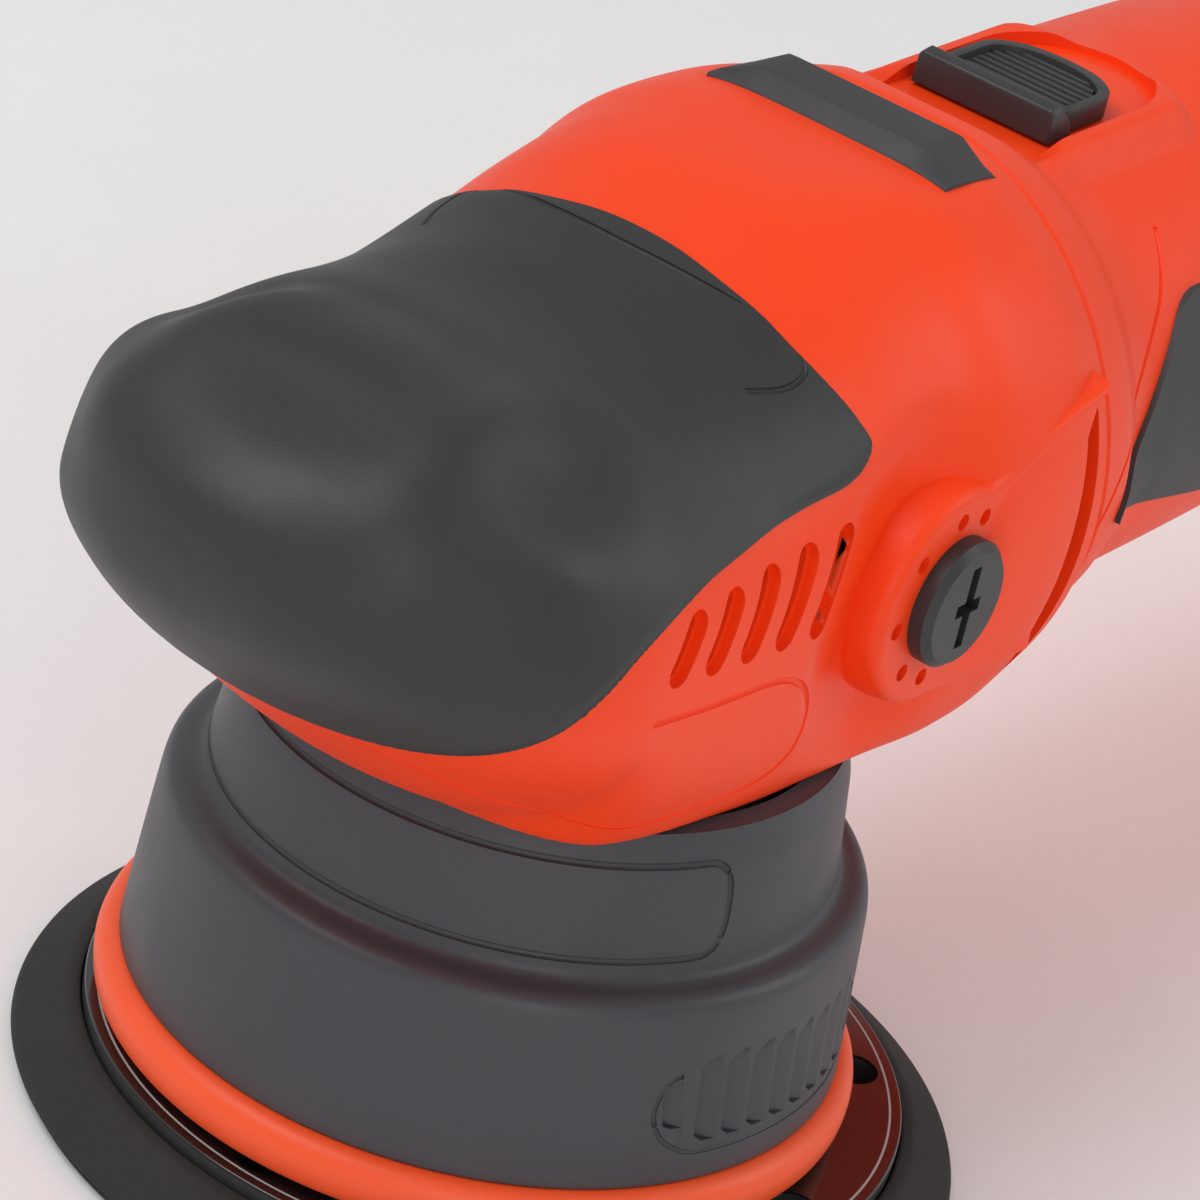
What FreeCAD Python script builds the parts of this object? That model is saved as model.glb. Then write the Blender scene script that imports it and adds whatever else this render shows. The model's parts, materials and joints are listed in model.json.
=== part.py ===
import FreeCAD, Part
import math
import os

# Dual action polisher. Millimetres, +Z up along the drive spindle, origin on the spindle
# axis at the backing plate's hook face. The handle points to +X and the nose to -X.

V = FreeCAD.Vector
UP = V(0, 0, 1)
ALONG = V(1, 0, 0)
ACROSS = V(0, 1, 0)

# --- driving dimensions -------------------------------------------------------------
PLATE_R = 62.5            # 125 mm backing plate
STROKE = 8.0              # orbit diameter
REST_ANGLE = -34.0        # direction of the eccentric at rest, degrees from +X
MOTOR_Z = 91.0            # height of the motor axis
SPLIT_X = 50.0            # head meets motor housing
HANDLE_X = 176.0          # motor housing meets the handle halves
CAP_X = 288.0             # handle halves meet the end cap
TAIL_X = 300.0
HEAD_FLOOR_Z = 64.5       # underside of the head
GAP = 0.03                # radial running clearance of a shaft in a bearing

ECC_X = STROKE / 2 * math.cos(math.radians(REST_ANGLE))
ECC_Y = STROKE / 2 * math.sin(math.radians(REST_ANGLE))

# Walls
COVER_WALL = 4.2
GRIP_WALL = 2.0
BARREL_WALL = 2.6
PAD_PROUD = 2.6
INLAY_PROUD = 0.8
INLAY_DEEP = 1.2

# Backing plate
HOOK_TOP = 1.2
FOAM_TOP = 8.0
CORE_TOP = 9.5
LABEL_TOP = 9.8
CORE_R = 54.0
STUD_R = 3.97             # 5/16"-24 thread, major radius
STUD_COLLAR_R = 11.0
PLATE_VENTS = 8
PLATE_VENT_R = 3.6
PLATE_VENT_PCR = 48.0
PLATE_VENT_TURN = -45.0

# Orbit head
ORBIT_FACE_Z = 12.8
ECC_HOUSING_R = 20.5
WEIGHT_R = 39.5
FLANGE_Z = 45.0           # top of the counterweight, under the spindle flange
SPINDLE_R = 6.0
SPINDLE_TIP_R = 4.0

# Gear case
CASE_R = 30.5
CASE_BORE_R = 28.0
CASE_TOP_Z = 98.0
PLATE_BOTTOM_Z = 56.0     # underside of the lower bearing plate
BEARING_PLATE_R = 33.0

# Bevel gears, straight teeth meeting at the crossing of both axes
MODULE = 1.4
PINION_TEETH = 12
RING_TEETH = 37
PRESSURE = math.radians(25)
FACE_WIDTH = 8.0
ADDENDUM = 0.8 * MODULE
DEDENDUM = 1.05 * MODULE
BACKLASH = 0.28

# Motor
STATOR_R = 30.4
ARMATURE_R = 19.5
COMMUTATOR_R = 11.0
FAN_R = 26.5

# Side handle bosses
BOSS_X = 18.0
BOSS_Z = 90.0
PLUG_R = 8.5
PLUG_FACE_Y = 44.6

# Slide switch and speed dial
SWITCH_DECK_Z = 125.5
SWITCH_X0 = 72.0
SWITCH_X1 = 92.0
LINK_Z = 122.0            # underside of the rod below the deck, clear of the stator
DIAL_X = 262.0
DIAL_Z = 113.0
DIAL_R = 12.0

# Cable inlet in the end cap
INLET_R = 5.5

# Outer form of the head: x, half width, top, depth below the axis, axis height, power.
HEAD_STATIONS = [
    (-82.0, 5.0, 109.0, 2.4, 106.0, 2.0),
    (-78.5, 16.0, 115.5, 7.5, 104.2, 2.1),
    (-74.0, 23.0, 119.3, 11.5, 102.5, 2.25),
    (-68.0, 29.0, 122.3, 14.5, 100.0, 2.35),
    (-60.0, 34.0, 124.2, 18.5, 96.5, 2.45),
    (-50.0, 37.8, 123.9, 23.0, 93.0, 2.6),
    (-41.0, 39.3, 122.8, 26.5, 91.0, 2.6),
    (-30.0, 39.5, 122.3, 41.0, 91.0, 2.45),
    (-15.0, 39.6, 124.0, 50.0, 91.0, 2.2),
    (0.0, 40.0, 128.3, 56.0, 91.0, 2.2),
    (10.0, 40.6, 131.8, 56.0, 91.0, 2.2),
    (20.0, 41.5, 133.8, 55.0, 91.0, 2.2),
    (30.0, 43.0, 134.8, 52.0, 91.0, 2.3),
    (40.0, 43.5, 134.6, 48.0, 91.0, 2.25),
    (50.0, 43.0, 134.0, 43.0, 91.0, 2.0),
]

# Outer form of the motor housing and handle.
BARREL_STATIONS = [
    (50.0, 43.0, 134.0, 33.0, 91.0, 2.0),
    (58.0, 41.5, 132.0, 33.5, 91.0, 2.0),
    (66.0, 37.8, 128.4, 34.2, 91.0, 2.0),
    (75.0, 36.4, 126.8, 34.5, 91.0, 2.0),
    (100.0, 36.0, 126.5, 34.5, 91.0, 2.0),
    (140.0, 35.0, 125.5, 34.0, 91.0, 2.0),
    (176.0, 33.5, 123.5, 33.0, 91.0, 2.0),
    (225.0, 31.5, 121.5, 31.0, 91.0, 2.0),
    (270.0, 32.5, 122.5, 31.5, 91.0, 2.0),
    (288.0, 32.0, 122.0, 31.0, 91.0, 2.0),
    (300.0, 27.0, 117.5, 26.5, 91.0, 2.0),
]

# Side view of the rubber nose grip's edge, from its rear top down and forward.
GRIP_EDGE = [
    (-4.0, 126.0), (-2.5, 121.0), (0.8, 115.5), (1.8, 112.2), (-2.8, 109.4), (-12.4, 108.2),
    (-23.0, 106.9), (-34.6, 105.2), (-44.5, 101.6), (-51.4, 97.0), (-60.0, 89.8), (-67.0, 84.6),
]

# Side view of the dark inlay on the motor housing.
INLAY_EDGE = [(56.0, 89.0), (71.0, 100.0), (82.0, 111.0), (132.0, 109.0), (138.0, 103.0),
              (138.0, 83.0), (132.0, 77.0), (95.0, 80.0)]


# --- shape helpers ------------------------------------------------------------------
def box(x0, x1, y0, y1, z0, z1):
    return Part.makeBox(x1 - x0, y1 - y0, z1 - z0, V(x0, y0, z0))


def cyl(r, z0, z1, x=0.0, y=0.0):
    return Part.makeCylinder(r, z1 - z0, V(x, y, z0))


def ring(r_in, r_out, z0, z1, x=0.0, y=0.0):
    return cyl(r_out, z0, z1, x, y).cut(cyl(r_in, z0, z1, x, y))


def cyl_x(r, x0, x1, y=0.0, z=MOTOR_Z):
    return Part.makeCylinder(r, x1 - x0, V(x0, y, z), ALONG)


def ring_x(r_in, r_out, x0, x1):
    return cyl_x(r_out, x0, x1).cut(cyl_x(r_in, x0, x1))


def cyl_y(r, y0, y1, x, z):
    return Part.makeCylinder(r, y1 - y0, V(x, y0, z), ACROSS)


def both_sides(shape):
    return Part.makeCompound([shape, shape.mirror(V(0, 0, 0), ACROSS)])


def fused(shapes):
    first, rest = shapes[0], shapes[1:]
    return first.multiFuse(rest).removeSplitter() if rest else first


def turned(outline, x=0.0, y=0.0):
    """Revolve an outline of (radius, height) points about a vertical axis."""
    points = [V(x + r, y, z) for r, z in outline]
    face = Part.Face(Part.makePolygon(points + [points[0]]))
    return face.revolve(V(x, y, 0), UP, 360)


def turned_x(outline):
    """Revolve an outline of (radius, x) points about the motor axis."""
    points = [V(x, 0, MOTOR_Z + r) for r, x in outline]
    face = Part.Face(Part.makePolygon(points + [points[0]]))
    return face.revolve(V(0, 0, MOTOR_Z), ALONG, 360)


def side_prism(outline, y0, y1):
    """Extrude a side view of (x, z) points across the tool."""
    points = [V(x, y0, z) for x, z in outline]
    face = Part.Face(Part.makePolygon(points + [points[0]]))
    return face.extrude(V(0, y1 - y0, 0))


def smooth_side_prism(outline, far, y0, y1):
    """As side_prism, with a smooth curve through the outline, closed round the far points."""
    curve = Part.BSplineCurve()
    curve.interpolate([V(x, y0, z) for x, z in outline])
    ends = [V(x, y0, z) for x, z in (outline[-1],) + far + (outline[0],)]
    wire = Part.Wire([curve.toShape()] + Part.makePolygon(ends).Edges)
    return Part.Face(wire).extrude(V(0, y1 - y0, 0))


def section(station, inset):
    """Closed section across the tool: a superellipse with its own top and bottom heights."""
    x, half, top, depth, height, power = station
    half, rise, drop = half - inset, top - height - inset, depth - inset
    points = []
    for step in range(32):
        angle = 2 * math.pi * step / 32
        c, s = math.cos(angle), math.sin(angle)
        n = power if s >= 0 else 2.0
        reach = rise if s >= 0 else drop
        y = half * math.copysign(abs(c) ** (2 / n), c)
        z = reach * math.copysign(abs(s) ** (2 / n), s)
        points.append(V(x, y, height + z))
    curve = Part.BSplineCurve()
    curve.interpolate(points, True)
    return Part.Wire(curve.toShape())


def form(stations, inset):
    wires = [section(s, inset) for s in stations if min(s[1], s[2] - s[4], s[3]) > inset + 2]
    return Part.makeLoft(wires, True)


def bearing(bore_r, outer_r, width):
    """Shielded ball bearing standing on z = 0: both rings joined by recessed shields."""
    lip, sunk = 1.2, 0.4
    return turned([
        (bore_r, 0), (bore_r + lip, 0), (bore_r + lip, sunk), (outer_r - lip, sunk),
        (outer_r - lip, 0), (outer_r, 0), (outer_r, width), (outer_r - lip, width),
        (outer_r - lip, width - sunk), (bore_r + lip, width - sunk),
        (bore_r + lip, width), (bore_r, width)])


def moved(shape, x=0.0, y=0.0, z=0.0):
    copy = shape.copy()
    copy.translate(V(x, y, z))
    return copy


def on_motor_axis(shape, x):
    """Turn a shape built about +Z so that it stands along the motor axis from x."""
    copy = shape.copy()
    copy.rotate(V(0, 0, 0), ACROSS, 90)
    copy.translate(V(x, 0, MOTOR_Z))
    return copy


def circlip(r_in, r_out, z0, z1, x=0.0, y=0.0):
    gap = box(x, x + r_out + 1, y - 1.5, y + 1.5, z0, z1)
    return ring(r_in, r_out, z0, z1, x, y).cut(gap)


def cap_screw(shank_r, head_r, head_h, length):
    """Socket head screw, head on -Z side, shank from z = 0 up."""
    body = cyl(head_r, -head_h, 0).fuse(cyl(shank_r, 0, length))
    return body.cut(cyl(shank_r * 0.9, -head_h, -head_h * 0.45)).removeSplitter()


def around(radius, angles):
    return [(radius * math.cos(math.radians(a)), radius * math.sin(math.radians(a)))
            for a in angles]


# --- bevel gears ----------------------------------------------------------------------
PINION_PITCH_R = MODULE * PINION_TEETH / 2
RING_PITCH_R = MODULE * RING_TEETH / 2
CONE = math.hypot(PINION_PITCH_R, RING_PITCH_R)


def involute(angle):
    return math.tan(angle) - angle


def tooth_outline(pitch_r, half_angle):
    """Half of a tooth on its back cone: (height over the pitch cone, half thickness)."""
    back_r = pitch_r / math.cos(half_angle)
    base_r = back_r * math.cos(PRESSURE)
    pitch_half = (math.pi * MODULE - BACKLASH * 2) / 4 / back_r
    outline = []
    low, high = back_r - DEDENDUM - 0.3, back_r + ADDENDUM
    for step in range(6):
        radius = low + (high - low) * step / 5
        flank = math.acos(min(1.0, base_r / radius))
        half = pitch_half + involute(PRESSURE) - involute(flank)
        outline.append((radius * math.cos(half) - back_r, radius * math.sin(half)))
    return outline


def tooth(pitch_r, half_angle):
    radial = V(math.sin(half_angle), 0, math.cos(half_angle))
    normal = V(math.cos(half_angle), 0, -math.sin(half_angle))
    half = tooth_outline(pitch_r, half_angle)
    loop = half + [(h, -s) for h, s in reversed(half)]
    wires = []
    for reach in (CONE, CONE - FACE_WIDTH):
        scale = reach / CONE
        points = [radial * reach + normal * (h * scale) + ACROSS * (s * scale) for h, s in loop]
        wires.append(Part.makePolygon(points + [points[0]]))
    return Part.makeLoft(wires, True, True)


def cone_point(reach, height, half_angle):
    """Radius and distance from the apex of a point over the pitch cone."""
    return (reach * math.sin(half_angle) + height * math.cos(half_angle),
            reach * math.cos(half_angle) - height * math.sin(half_angle))


def bevel_gear(teeth, back_thickness, turn):
    """Bevel gear with its apex at the origin, opening towards +Z."""
    pitch_r = MODULE * teeth / 2
    half_angle = math.asin(pitch_r / CONE)
    inner = CONE - FACE_WIDTH
    root_out = cone_point(CONE, -DEDENDUM, half_angle)
    root_in = cone_point(inner, -DEDENDUM * inner / CONE, half_angle)
    blank = turned([(0, root_in[1]), root_in, root_out, (root_out[0], root_out[1] + back_thickness),
                    (0, root_out[1] + back_thickness)])
    one = tooth(pitch_r, half_angle)
    cut_teeth = []
    for step in range(teeth):
        copy = one.copy()
        copy.rotate(V(0, 0, 0), UP, 360 * (step + turn) / teeth)
        cut_teeth.append(copy)
    return fused([blank] + cut_teeth)


def ring_gear():
    gear = bevel_gear(RING_TEETH, 2.5, 0.5)
    gear.rotate(V(0, 0, 0), ALONG, 180)
    gear.translate(V(0, 0, MOTOR_Z))
    hub = cyl(12.0, 68.0, 80.0)
    return gear.fuse(hub).cut(cyl(SPINDLE_R, 60, 90)).cut(gear_key()).removeSplitter()


def pinion():
    gear = bevel_gear(PINION_TEETH, 1.5, 0.0)
    return on_motor_axis(gear, 0).cut(cyl_x(3.5, 0, 40))


def gear_key():
    return box(4.4, 7.6, -1.5, 1.5, 69.5, 76.5)


# --- head -----------------------------------------------------------------------------
def head_form(inset=0.0):
    return form(HEAD_STATIONS, inset)


def grip_zone():
    ahead = ((-92.0, 76.0), (-92.0, 140.0), (-4.0, 140.0))
    return smooth_side_prism(GRIP_EDGE, ahead, -60, 60)


def head_grip():
    skin = head_form().cut(head_form(GRIP_WALL))
    return skin.common(grip_zone())


def top_rest_pad():
    bar = box(34, 46, -18, 18, 120, 140)
    return head_form(-PAD_PROUD).cut(head_form(1.0)).common(bar)


def head_vents():
    """Five slots each side, leaning back a little, 8.2 mm apart."""
    slots = []
    for i in range(5):
        x = -37.0 + 8.2 * i
        low, high = 94.4 - 0.45 * i, 102.6 + 0.6 * i
        lean = 0.5 + 0.4 * i
        outline = [(x - 1.3, low), (x + 1.3, low), (x + 1.3 + lean, high), (x - 1.3 + lean, high)]
        slots.append(side_prism(outline, -50, -30))
        slots.append(side_prism(outline, 30, 50))
    return slots


def head_housing():
    outer = head_form().common(box(-90, SPLIT_X, -60, 60, HEAD_FLOOR_Z, 140))
    bosses = [cyl_y(14.0, -40.8, -34.0, BOSS_X, BOSS_Z), cyl_y(14.0, 34.0, 40.8, BOSS_X, BOSS_Z)]
    outer = fused([outer] + bosses)
    cavity = head_form(COVER_WALL).common(box(-90, SPLIT_X + 1, -60, 60, HEAD_FLOOR_Z + 3, 140))
    shell = outer.cut(cavity).cut(cyl(CASE_R + 0.2, 60, 80))
    for side in (-1, 1):
        y0, y1 = sorted((side * 33.0, side * 47.0))
        shell = shell.cut(cyl_y(PLUG_R + 0.2, y0, y1, BOSS_X, BOSS_Z))
        y0, y1 = sorted((side * 30.0, side * 50.0))
        shell = shell.cut(box(43.0, 47.5, y0, y1, 68.5, 110.0))
    for slot in head_vents():
        shell = shell.cut(slot)
    return shell.cut(head_grip()).cut(top_rest_pad())


# --- gear case ------------------------------------------------------------------------
NECK_R = 17.0
FLANGE_X = 44.0
LUG_R = 25.0
LUG_ANGLES = (45, 135, 225, 315)
SHROUD_SCREW_R = 30.0
SHROUD_SCREW_ANGLES = (0, 120, 240)
HOUSING_SCREWS = [(33.0 * math.cos(math.radians(a)), 33.0 * math.sin(math.radians(a)))
                  for a in (45, 135, 205, 335)]


def gear_case():
    body = cyl(CASE_R, HEAD_FLOOR_Z, CASE_TOP_Z)
    top_boss = cyl(14.0, CASE_TOP_Z - 3, 110.0)
    neck = cyl_x(NECK_R, 15.0, FLANGE_X + 2)
    flange = cyl_x(38.3, FLANGE_X, SPLIT_X).common(box(FLANGE_X, SPLIT_X, -40, 40, 68.0, 135))
    arms = [cyl_y(9.0, -34.6, -20.0, BOSS_X, BOSS_Z), cyl_y(9.0, 20.0, 34.6, BOSS_X, BOSS_Z)]
    case = fused([body, top_boss, neck, flange] + arms)
    case = case.cut(cyl(CASE_BORE_R, HEAD_FLOOR_Z, CASE_TOP_Z - 3))
    case = case.cut(cyl(11.0, 90, 107.0)).cut(cyl(5.0, 106, 111))
    case = case.cut(cyl_x(11.0, 10, 33)).cut(cyl_x(13.0, 32, 40)).cut(cyl_x(8.0, 39, 51))
    lugs = [cyl(3.6, HEAD_FLOOR_Z, 71.0, x, y) for x, y in around(LUG_R, LUG_ANGLES)]
    case = fused([case] + lugs)
    for x, y in around(LUG_R, LUG_ANGLES):
        case = case.cut(cyl(2.0, 60, 70.0, x, y))
    for y, z in HOUSING_SCREWS:
        case = case.cut(cyl_x(2.6, FLANGE_X - 1, 51, y, MOTOR_Z + z))
    for side in (-1, 1):
        y0, y1 = sorted((side * 21.6, side * 35.0))
        case = case.cut(cyl_y(4.0, y0, y1, BOSS_X, BOSS_Z))
    return case


def bearing_plate():
    plate = turned([(9.0, 50.0), (20.0, 50.0), (20.0, PLATE_BOTTOM_Z), (BEARING_PLATE_R, PLATE_BOTTOM_Z),
                    (BEARING_PLATE_R, HEAD_FLOOR_Z), (20.0, HEAD_FLOOR_Z), (20.0, 66.0),
                    (16.0, 66.0), (16.0, 54.0), (9.0, 54.0)])
    for x, y in around(LUG_R, LUG_ANGLES):
        plate = plate.cut(cyl(2.0, 50, 70, x, y)).cut(cyl(3.6, 50, 59.0, x, y))
    for x, y in around(SHROUD_SCREW_R, SHROUD_SCREW_ANGLES):
        plate = plate.cut(cyl(2.0, 50, 63.0, x, y))
    return plate


def gearcase_screws():
    screw = cap_screw(2.0, 3.4, 2.8, 11.0)
    return Part.makeCompound([moved(screw, x, y, 59.0) for x, y in around(LUG_R, LUG_ANGLES)])


def housing_screws():
    screw = on_motor_axis(cap_screw(2.5, 4.0, 4.0, 18.0), FLANGE_X)
    return Part.makeCompound([moved(screw, 0, y, z) for y, z in HOUSING_SCREWS])


def side_plugs():
    side = cyl_y(PLUG_R, 34.6, PLUG_FACE_Y, BOSS_X, BOSS_Z)
    rim = max(side.Edges, key=lambda e: e.BoundBox.YMin)
    side = side.makeChamfer(1.0, [rim])
    side = side.fuse(cyl_y(3.9, 23.0, 34.6, BOSS_X, BOSS_Z)).removeSplitter()
    slot_y = (PLUG_FACE_Y - 2.4, PLUG_FACE_Y + 1)
    side = side.cut(box(BOSS_X - 0.9, BOSS_X + 0.9, *slot_y, BOSS_Z - 5.6, BOSS_Z + 5.6))
    side = side.cut(box(BOSS_X - 2.6, BOSS_X + 2.6, *slot_y, BOSS_Z - 0.9, BOSS_Z + 0.9))
    return both_sides(side)


# --- shroud ---------------------------------------------------------------------------
def shroud():
    skirt = turned([
        (38.0, HEAD_FLOOR_Z), (39.4, 59.3), (40.8, 47.1), (41.1, 45.6), (42.0, 44.7), (44.6, 44.1),
        (45.5, 43.0), (45.9, 40.5), (46.4, 32.0), (47.2, 18.5), (44.6, 18.5), (43.6, 34.0),
        (43.0, 41.0), (38.6, 43.4), (37.8, 47.0), (36.8, 53.0), (27.0, 53.0), (27.0, PLATE_BOTTOM_Z),
        (36.4, PLATE_BOTTOM_Z), (35.4, HEAD_FLOOR_Z)])
    for x, y in around(SHROUD_SCREW_R, SHROUD_SCREW_ANGLES):
        skirt = skirt.cut(cyl(2.0, 50, 60, x, y))
    return skirt


def shroud_screws():
    screw = cap_screw(2.0, 3.4, 2.4, 9.0)
    return Part.makeCompound([moved(screw, x, y, 53.0)
                              for x, y in around(SHROUD_SCREW_R, SHROUD_SCREW_ANGLES)])


def bumper_ring():
    return turned([
        (44.2, 24.0), (44.6, 18.5), (47.6, 18.5), (49.0, 17.6), (49.7, 16.0), (49.9, 14.4),
        (49.6, 12.8), (48.6, 11.4), (47.2, 11.0), (44.6, 11.0), (43.4, 11.8), (42.8, 14.0),
        (42.6, 24.0)])


# --- drive spindle --------------------------------------------------------------------
CLIP_Z = 66.4
FLANGE_TOP_Z = 48.4
FLANGE_SCREW_R = 11.0
FLANGE_SCREW_ANGLES = (REST_ANGLE + 90, REST_ANGLE + 180, REST_ANGLE + 270)


def spindle():
    shaft = turned([
        (0, FLANGE_Z), (15.0, FLANGE_Z), (15.0, FLANGE_TOP_Z), (SPINDLE_R, FLANGE_TOP_Z),
        (SPINDLE_R, 53.5),
        (SPINDLE_R - GAP, 53.5), (SPINDLE_R - GAP, 64.5), (SPINDLE_R, 64.5),
        (SPINDLE_R, CLIP_Z), (5.4, CLIP_Z), (5.4, CLIP_Z + 1.1), (SPINDLE_R, CLIP_Z + 1.1),
        (SPINDLE_R, 99.0), (SPINDLE_TIP_R - GAP, 99.0), (SPINDLE_TIP_R - GAP, 107.5), (0, 107.5)])
    for x, y in around(FLANGE_SCREW_R, FLANGE_SCREW_ANGLES):
        shaft = shaft.cut(cyl(1.6, 40, 50, x, y))
    return shaft.cut(gear_key())


def spindle_circlip():
    return circlip(5.4, 8.6, CLIP_Z, CLIP_Z + 1.1)


def counterweight():
    """Eccentric bearing housing on one side, balance weight on the other."""
    housing = cyl(ECC_HOUSING_R, 16.0, 41.0, ECC_X, ECC_Y)
    top = cyl(ECC_HOUSING_R, 40.5, FLANGE_Z)
    weight = Part.makeCylinder(WEIGHT_R, 16.0, V(0, 0, 22.0), UP, 160)
    weight.rotate(V(0, 0, 0), UP, REST_ANGLE + 100)
    body = fused([housing, top, weight])
    body = body.cut(cyl(16.0, 15, 28.0, ECC_X, ECC_Y)).cut(cyl(14.0, 27, 39.0, ECC_X, ECC_Y))
    body = body.cut(cyl(9.5, 38, 41.0, ECC_X, ECC_Y))
    for x, y in around(FLANGE_SCREW_R, FLANGE_SCREW_ANGLES):
        body = body.cut(cyl(1.6, 41.5, 50, x, y))
    return body


def counterweight_screws():
    screw = cap_screw(1.6, 2.6, 1.4, 5.0)
    screw.rotate(V(0, 0, 0), ALONG, 180)
    return Part.makeCompound([moved(screw, x, y, FLANGE_TOP_Z)
                              for x, y in around(FLANGE_SCREW_R, FLANGE_SCREW_ANGLES)])


def orbit_bearing_lower():
    return moved(bearing(SPINDLE_R, 16.0, 10.0), ECC_X, ECC_Y, 18.0)


def orbit_bearing_upper():
    return moved(bearing(SPINDLE_R, 14.0, 8.0), ECC_X, ECC_Y, 31.0)


def orbit_bearing_clip():
    return circlip(13.0, 16.0, 16.8, 18.0, ECC_X, ECC_Y)


# --- orbiting output and backing plate -------------------------------------------------
def orbit_spindle():
    shaft = turned([
        (0, ORBIT_FACE_Z), (9.5, ORBIT_FACE_Z), (9.5, 17.6), (8.0, 17.6), (8.0, 17.9),
        (SPINDLE_R - GAP, 17.9), (SPINDLE_R - GAP, 39.2), (5.3, 39.2), (5.3, 40.2),
        (5.8, 40.2), (5.8, 40.7), (0, 40.7)], ECC_X, ECC_Y)
    return shaft.cut(cyl(STUD_R, ORBIT_FACE_Z, 32.0, ECC_X, ECC_Y))


def orbit_spacer():
    return ring(SPINDLE_R - GAP, 8.0, 28.1, 30.9, ECC_X, ECC_Y)


def orbit_circlip():
    return circlip(5.3, 8.2, 39.2, 40.2, ECC_X, ECC_Y)


def plate_vent_holes():
    angles = [PLATE_VENT_TURN + 360.0 * k / PLATE_VENTS for k in range(PLATE_VENTS)]
    return [cyl(PLATE_VENT_R, -1, 12, ECC_X + x, ECC_Y + y) for x, y in around(PLATE_VENT_PCR, angles)]


def vented(shape):
    return shape.cut(plate_vent_holes())


def plate_hook():
    return vented(cyl(PLATE_R - 1.5, 0, HOOK_TOP, ECC_X, ECC_Y))


def plate_foam():
    pad = turned([(0, HOOK_TOP), (PLATE_R - 1.5, HOOK_TOP), (PLATE_R, HOOK_TOP + 0.6),
                  (PLATE_R - 0.6, 3.4), (CORE_R + 1.6, FOAM_TOP), (CORE_R, FOAM_TOP),
                  (CORE_R, 4.5), (0, 4.5)], ECC_X, ECC_Y)
    return vented(pad)


def plate_core():
    disc = turned([(STUD_R, 4.5), (CORE_R, 4.5), (CORE_R, CORE_TOP), (STUD_R, CORE_TOP)], ECC_X, ECC_Y)
    return vented(disc)


def plate_label():
    return vented(ring(STUD_COLLAR_R, CORE_R, CORE_TOP, LABEL_TOP, ECC_X, ECC_Y))


def plate_stud():
    return turned([(0, 4.5), (STUD_R, 4.5), (STUD_R, CORE_TOP), (STUD_COLLAR_R, CORE_TOP),
                   (STUD_COLLAR_R, ORBIT_FACE_Z), (STUD_R, ORBIT_FACE_Z), (STUD_R, 30.0),
                   (STUD_R - 1, 31.0), (0, 31.0)], ECC_X, ECC_Y)


# --- spindle bearings -------------------------------------------------------------------
def lower_bearing():
    return moved(bearing(SPINDLE_R, 16.0, 10.0), 0, 0, 54.0)


def upper_bearing():
    return moved(bearing(SPINDLE_TIP_R, 11.0, 7.0), 0, 0, 99.8)


def shaft_seal():
    return ring(SPINDLE_R + 0.15, 9.0, 50.4, 53.6)


# --- motor ------------------------------------------------------------------------------
def armature_shaft():
    return turned_x([
        (0, 15.5), (3.5, 15.5), (3.5, 29.5), (5.0, 29.5), (5.0, 31.8), (5.0 - GAP, 31.8),
        (5.0 - GAP, 40.2), (5.0, 40.2), (5.0, 44.0), (6.0, 44.0), (6.0, 158.0), (5.0, 158.0),
        (5.0, 161.5), (4.0 - GAP, 161.5), (4.0 - GAP, 170.0), (0, 170.0)])


def fan():
    """Radial fan: a hub, a back disc and nine blades facing the head."""
    parts = [ring_x(6.0, 9.0, 52.5, 64.0), ring_x(6.0, FAN_R, 62.0, 64.0)]
    blade = box(53.5, 62.5, -0.8, 0.8, MOTOR_Z + 8.5, MOTOR_Z + FAN_R)
    for k in range(9):
        copy = blade.copy()
        copy.rotate(V(0, 0, MOTOR_Z), ALONG, 40 * k)
        parts.append(copy)
    return fused(parts)


def slotted(shape, count, radius, width, x0, x1, turn=0.0):
    slot = box(x0, x1, -width / 2, width / 2, MOTOR_Z + radius, MOTOR_Z + 60)
    slot.rotate(V(0, 0, MOTOR_Z), ALONG, turn)
    for k in range(count):
        copy = slot.copy()
        copy.rotate(V(0, 0, MOTOR_Z), ALONG, 360.0 * k / count)
        shape = shape.cut(copy)
    return shape


def armature_core():
    return slotted(ring_x(6.0, ARMATURE_R, 78, 128), 12, 12.0, 2.4, 77, 129)


def armature_windings():
    """End turns at both ends of the core, with wedges of wire in each slot."""
    front = turned_x([(6.0, 70), (12.0, 70), (17.0, 72), (18.6, 75), (18.6, 78), (6.0, 78)])
    rear = turned_x([(6.0, 128), (18.6, 128), (18.6, 131), (17.0, 134), (12.0, 136), (6.0, 136)])
    wires = []
    bar = box(78, 128, -1.2, 1.2, MOTOR_Z + 12.2, MOTOR_Z + 18.2)
    for k in range(12):
        copy = bar.copy()
        copy.rotate(V(0, 0, MOTOR_Z), ALONG, 30 * k)
        wires.append(copy)
    return fused([front, rear] + wires)


def commutator():
    return slotted(ring_x(6.0, COMMUTATOR_R, 140, 156), 24, COMMUTATOR_R - 0.8, 0.5, 143, 157, 7.5)


def front_motor_bearing():
    return on_motor_axis(bearing(5.0, 13.0, 8.0), 32.0)


def rear_motor_bearing():
    return on_motor_axis(bearing(4.0, 11.0, 7.0), 162.0)


def sector_x(r_in, r_out, a0, a1, x0, x1):
    """Part of a ring about the motor axis, between two angles from +Y towards +Z."""
    wedge = ring_x(r_in, r_out, x0, x1)
    points = [V(x0, 0, MOTOR_Z)]
    steps = 8
    for k in range(steps + 1):
        a = math.radians(a0 + (a1 - a0) * k / steps)
        points.append(V(x0, 60 * math.cos(a), MOTOR_Z + 60 * math.sin(a)))
    mask = Part.Face(Part.makePolygon(points + [points[0]])).extrude(V(x1 - x0, 0, 0))
    return wedge.common(mask)


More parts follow.
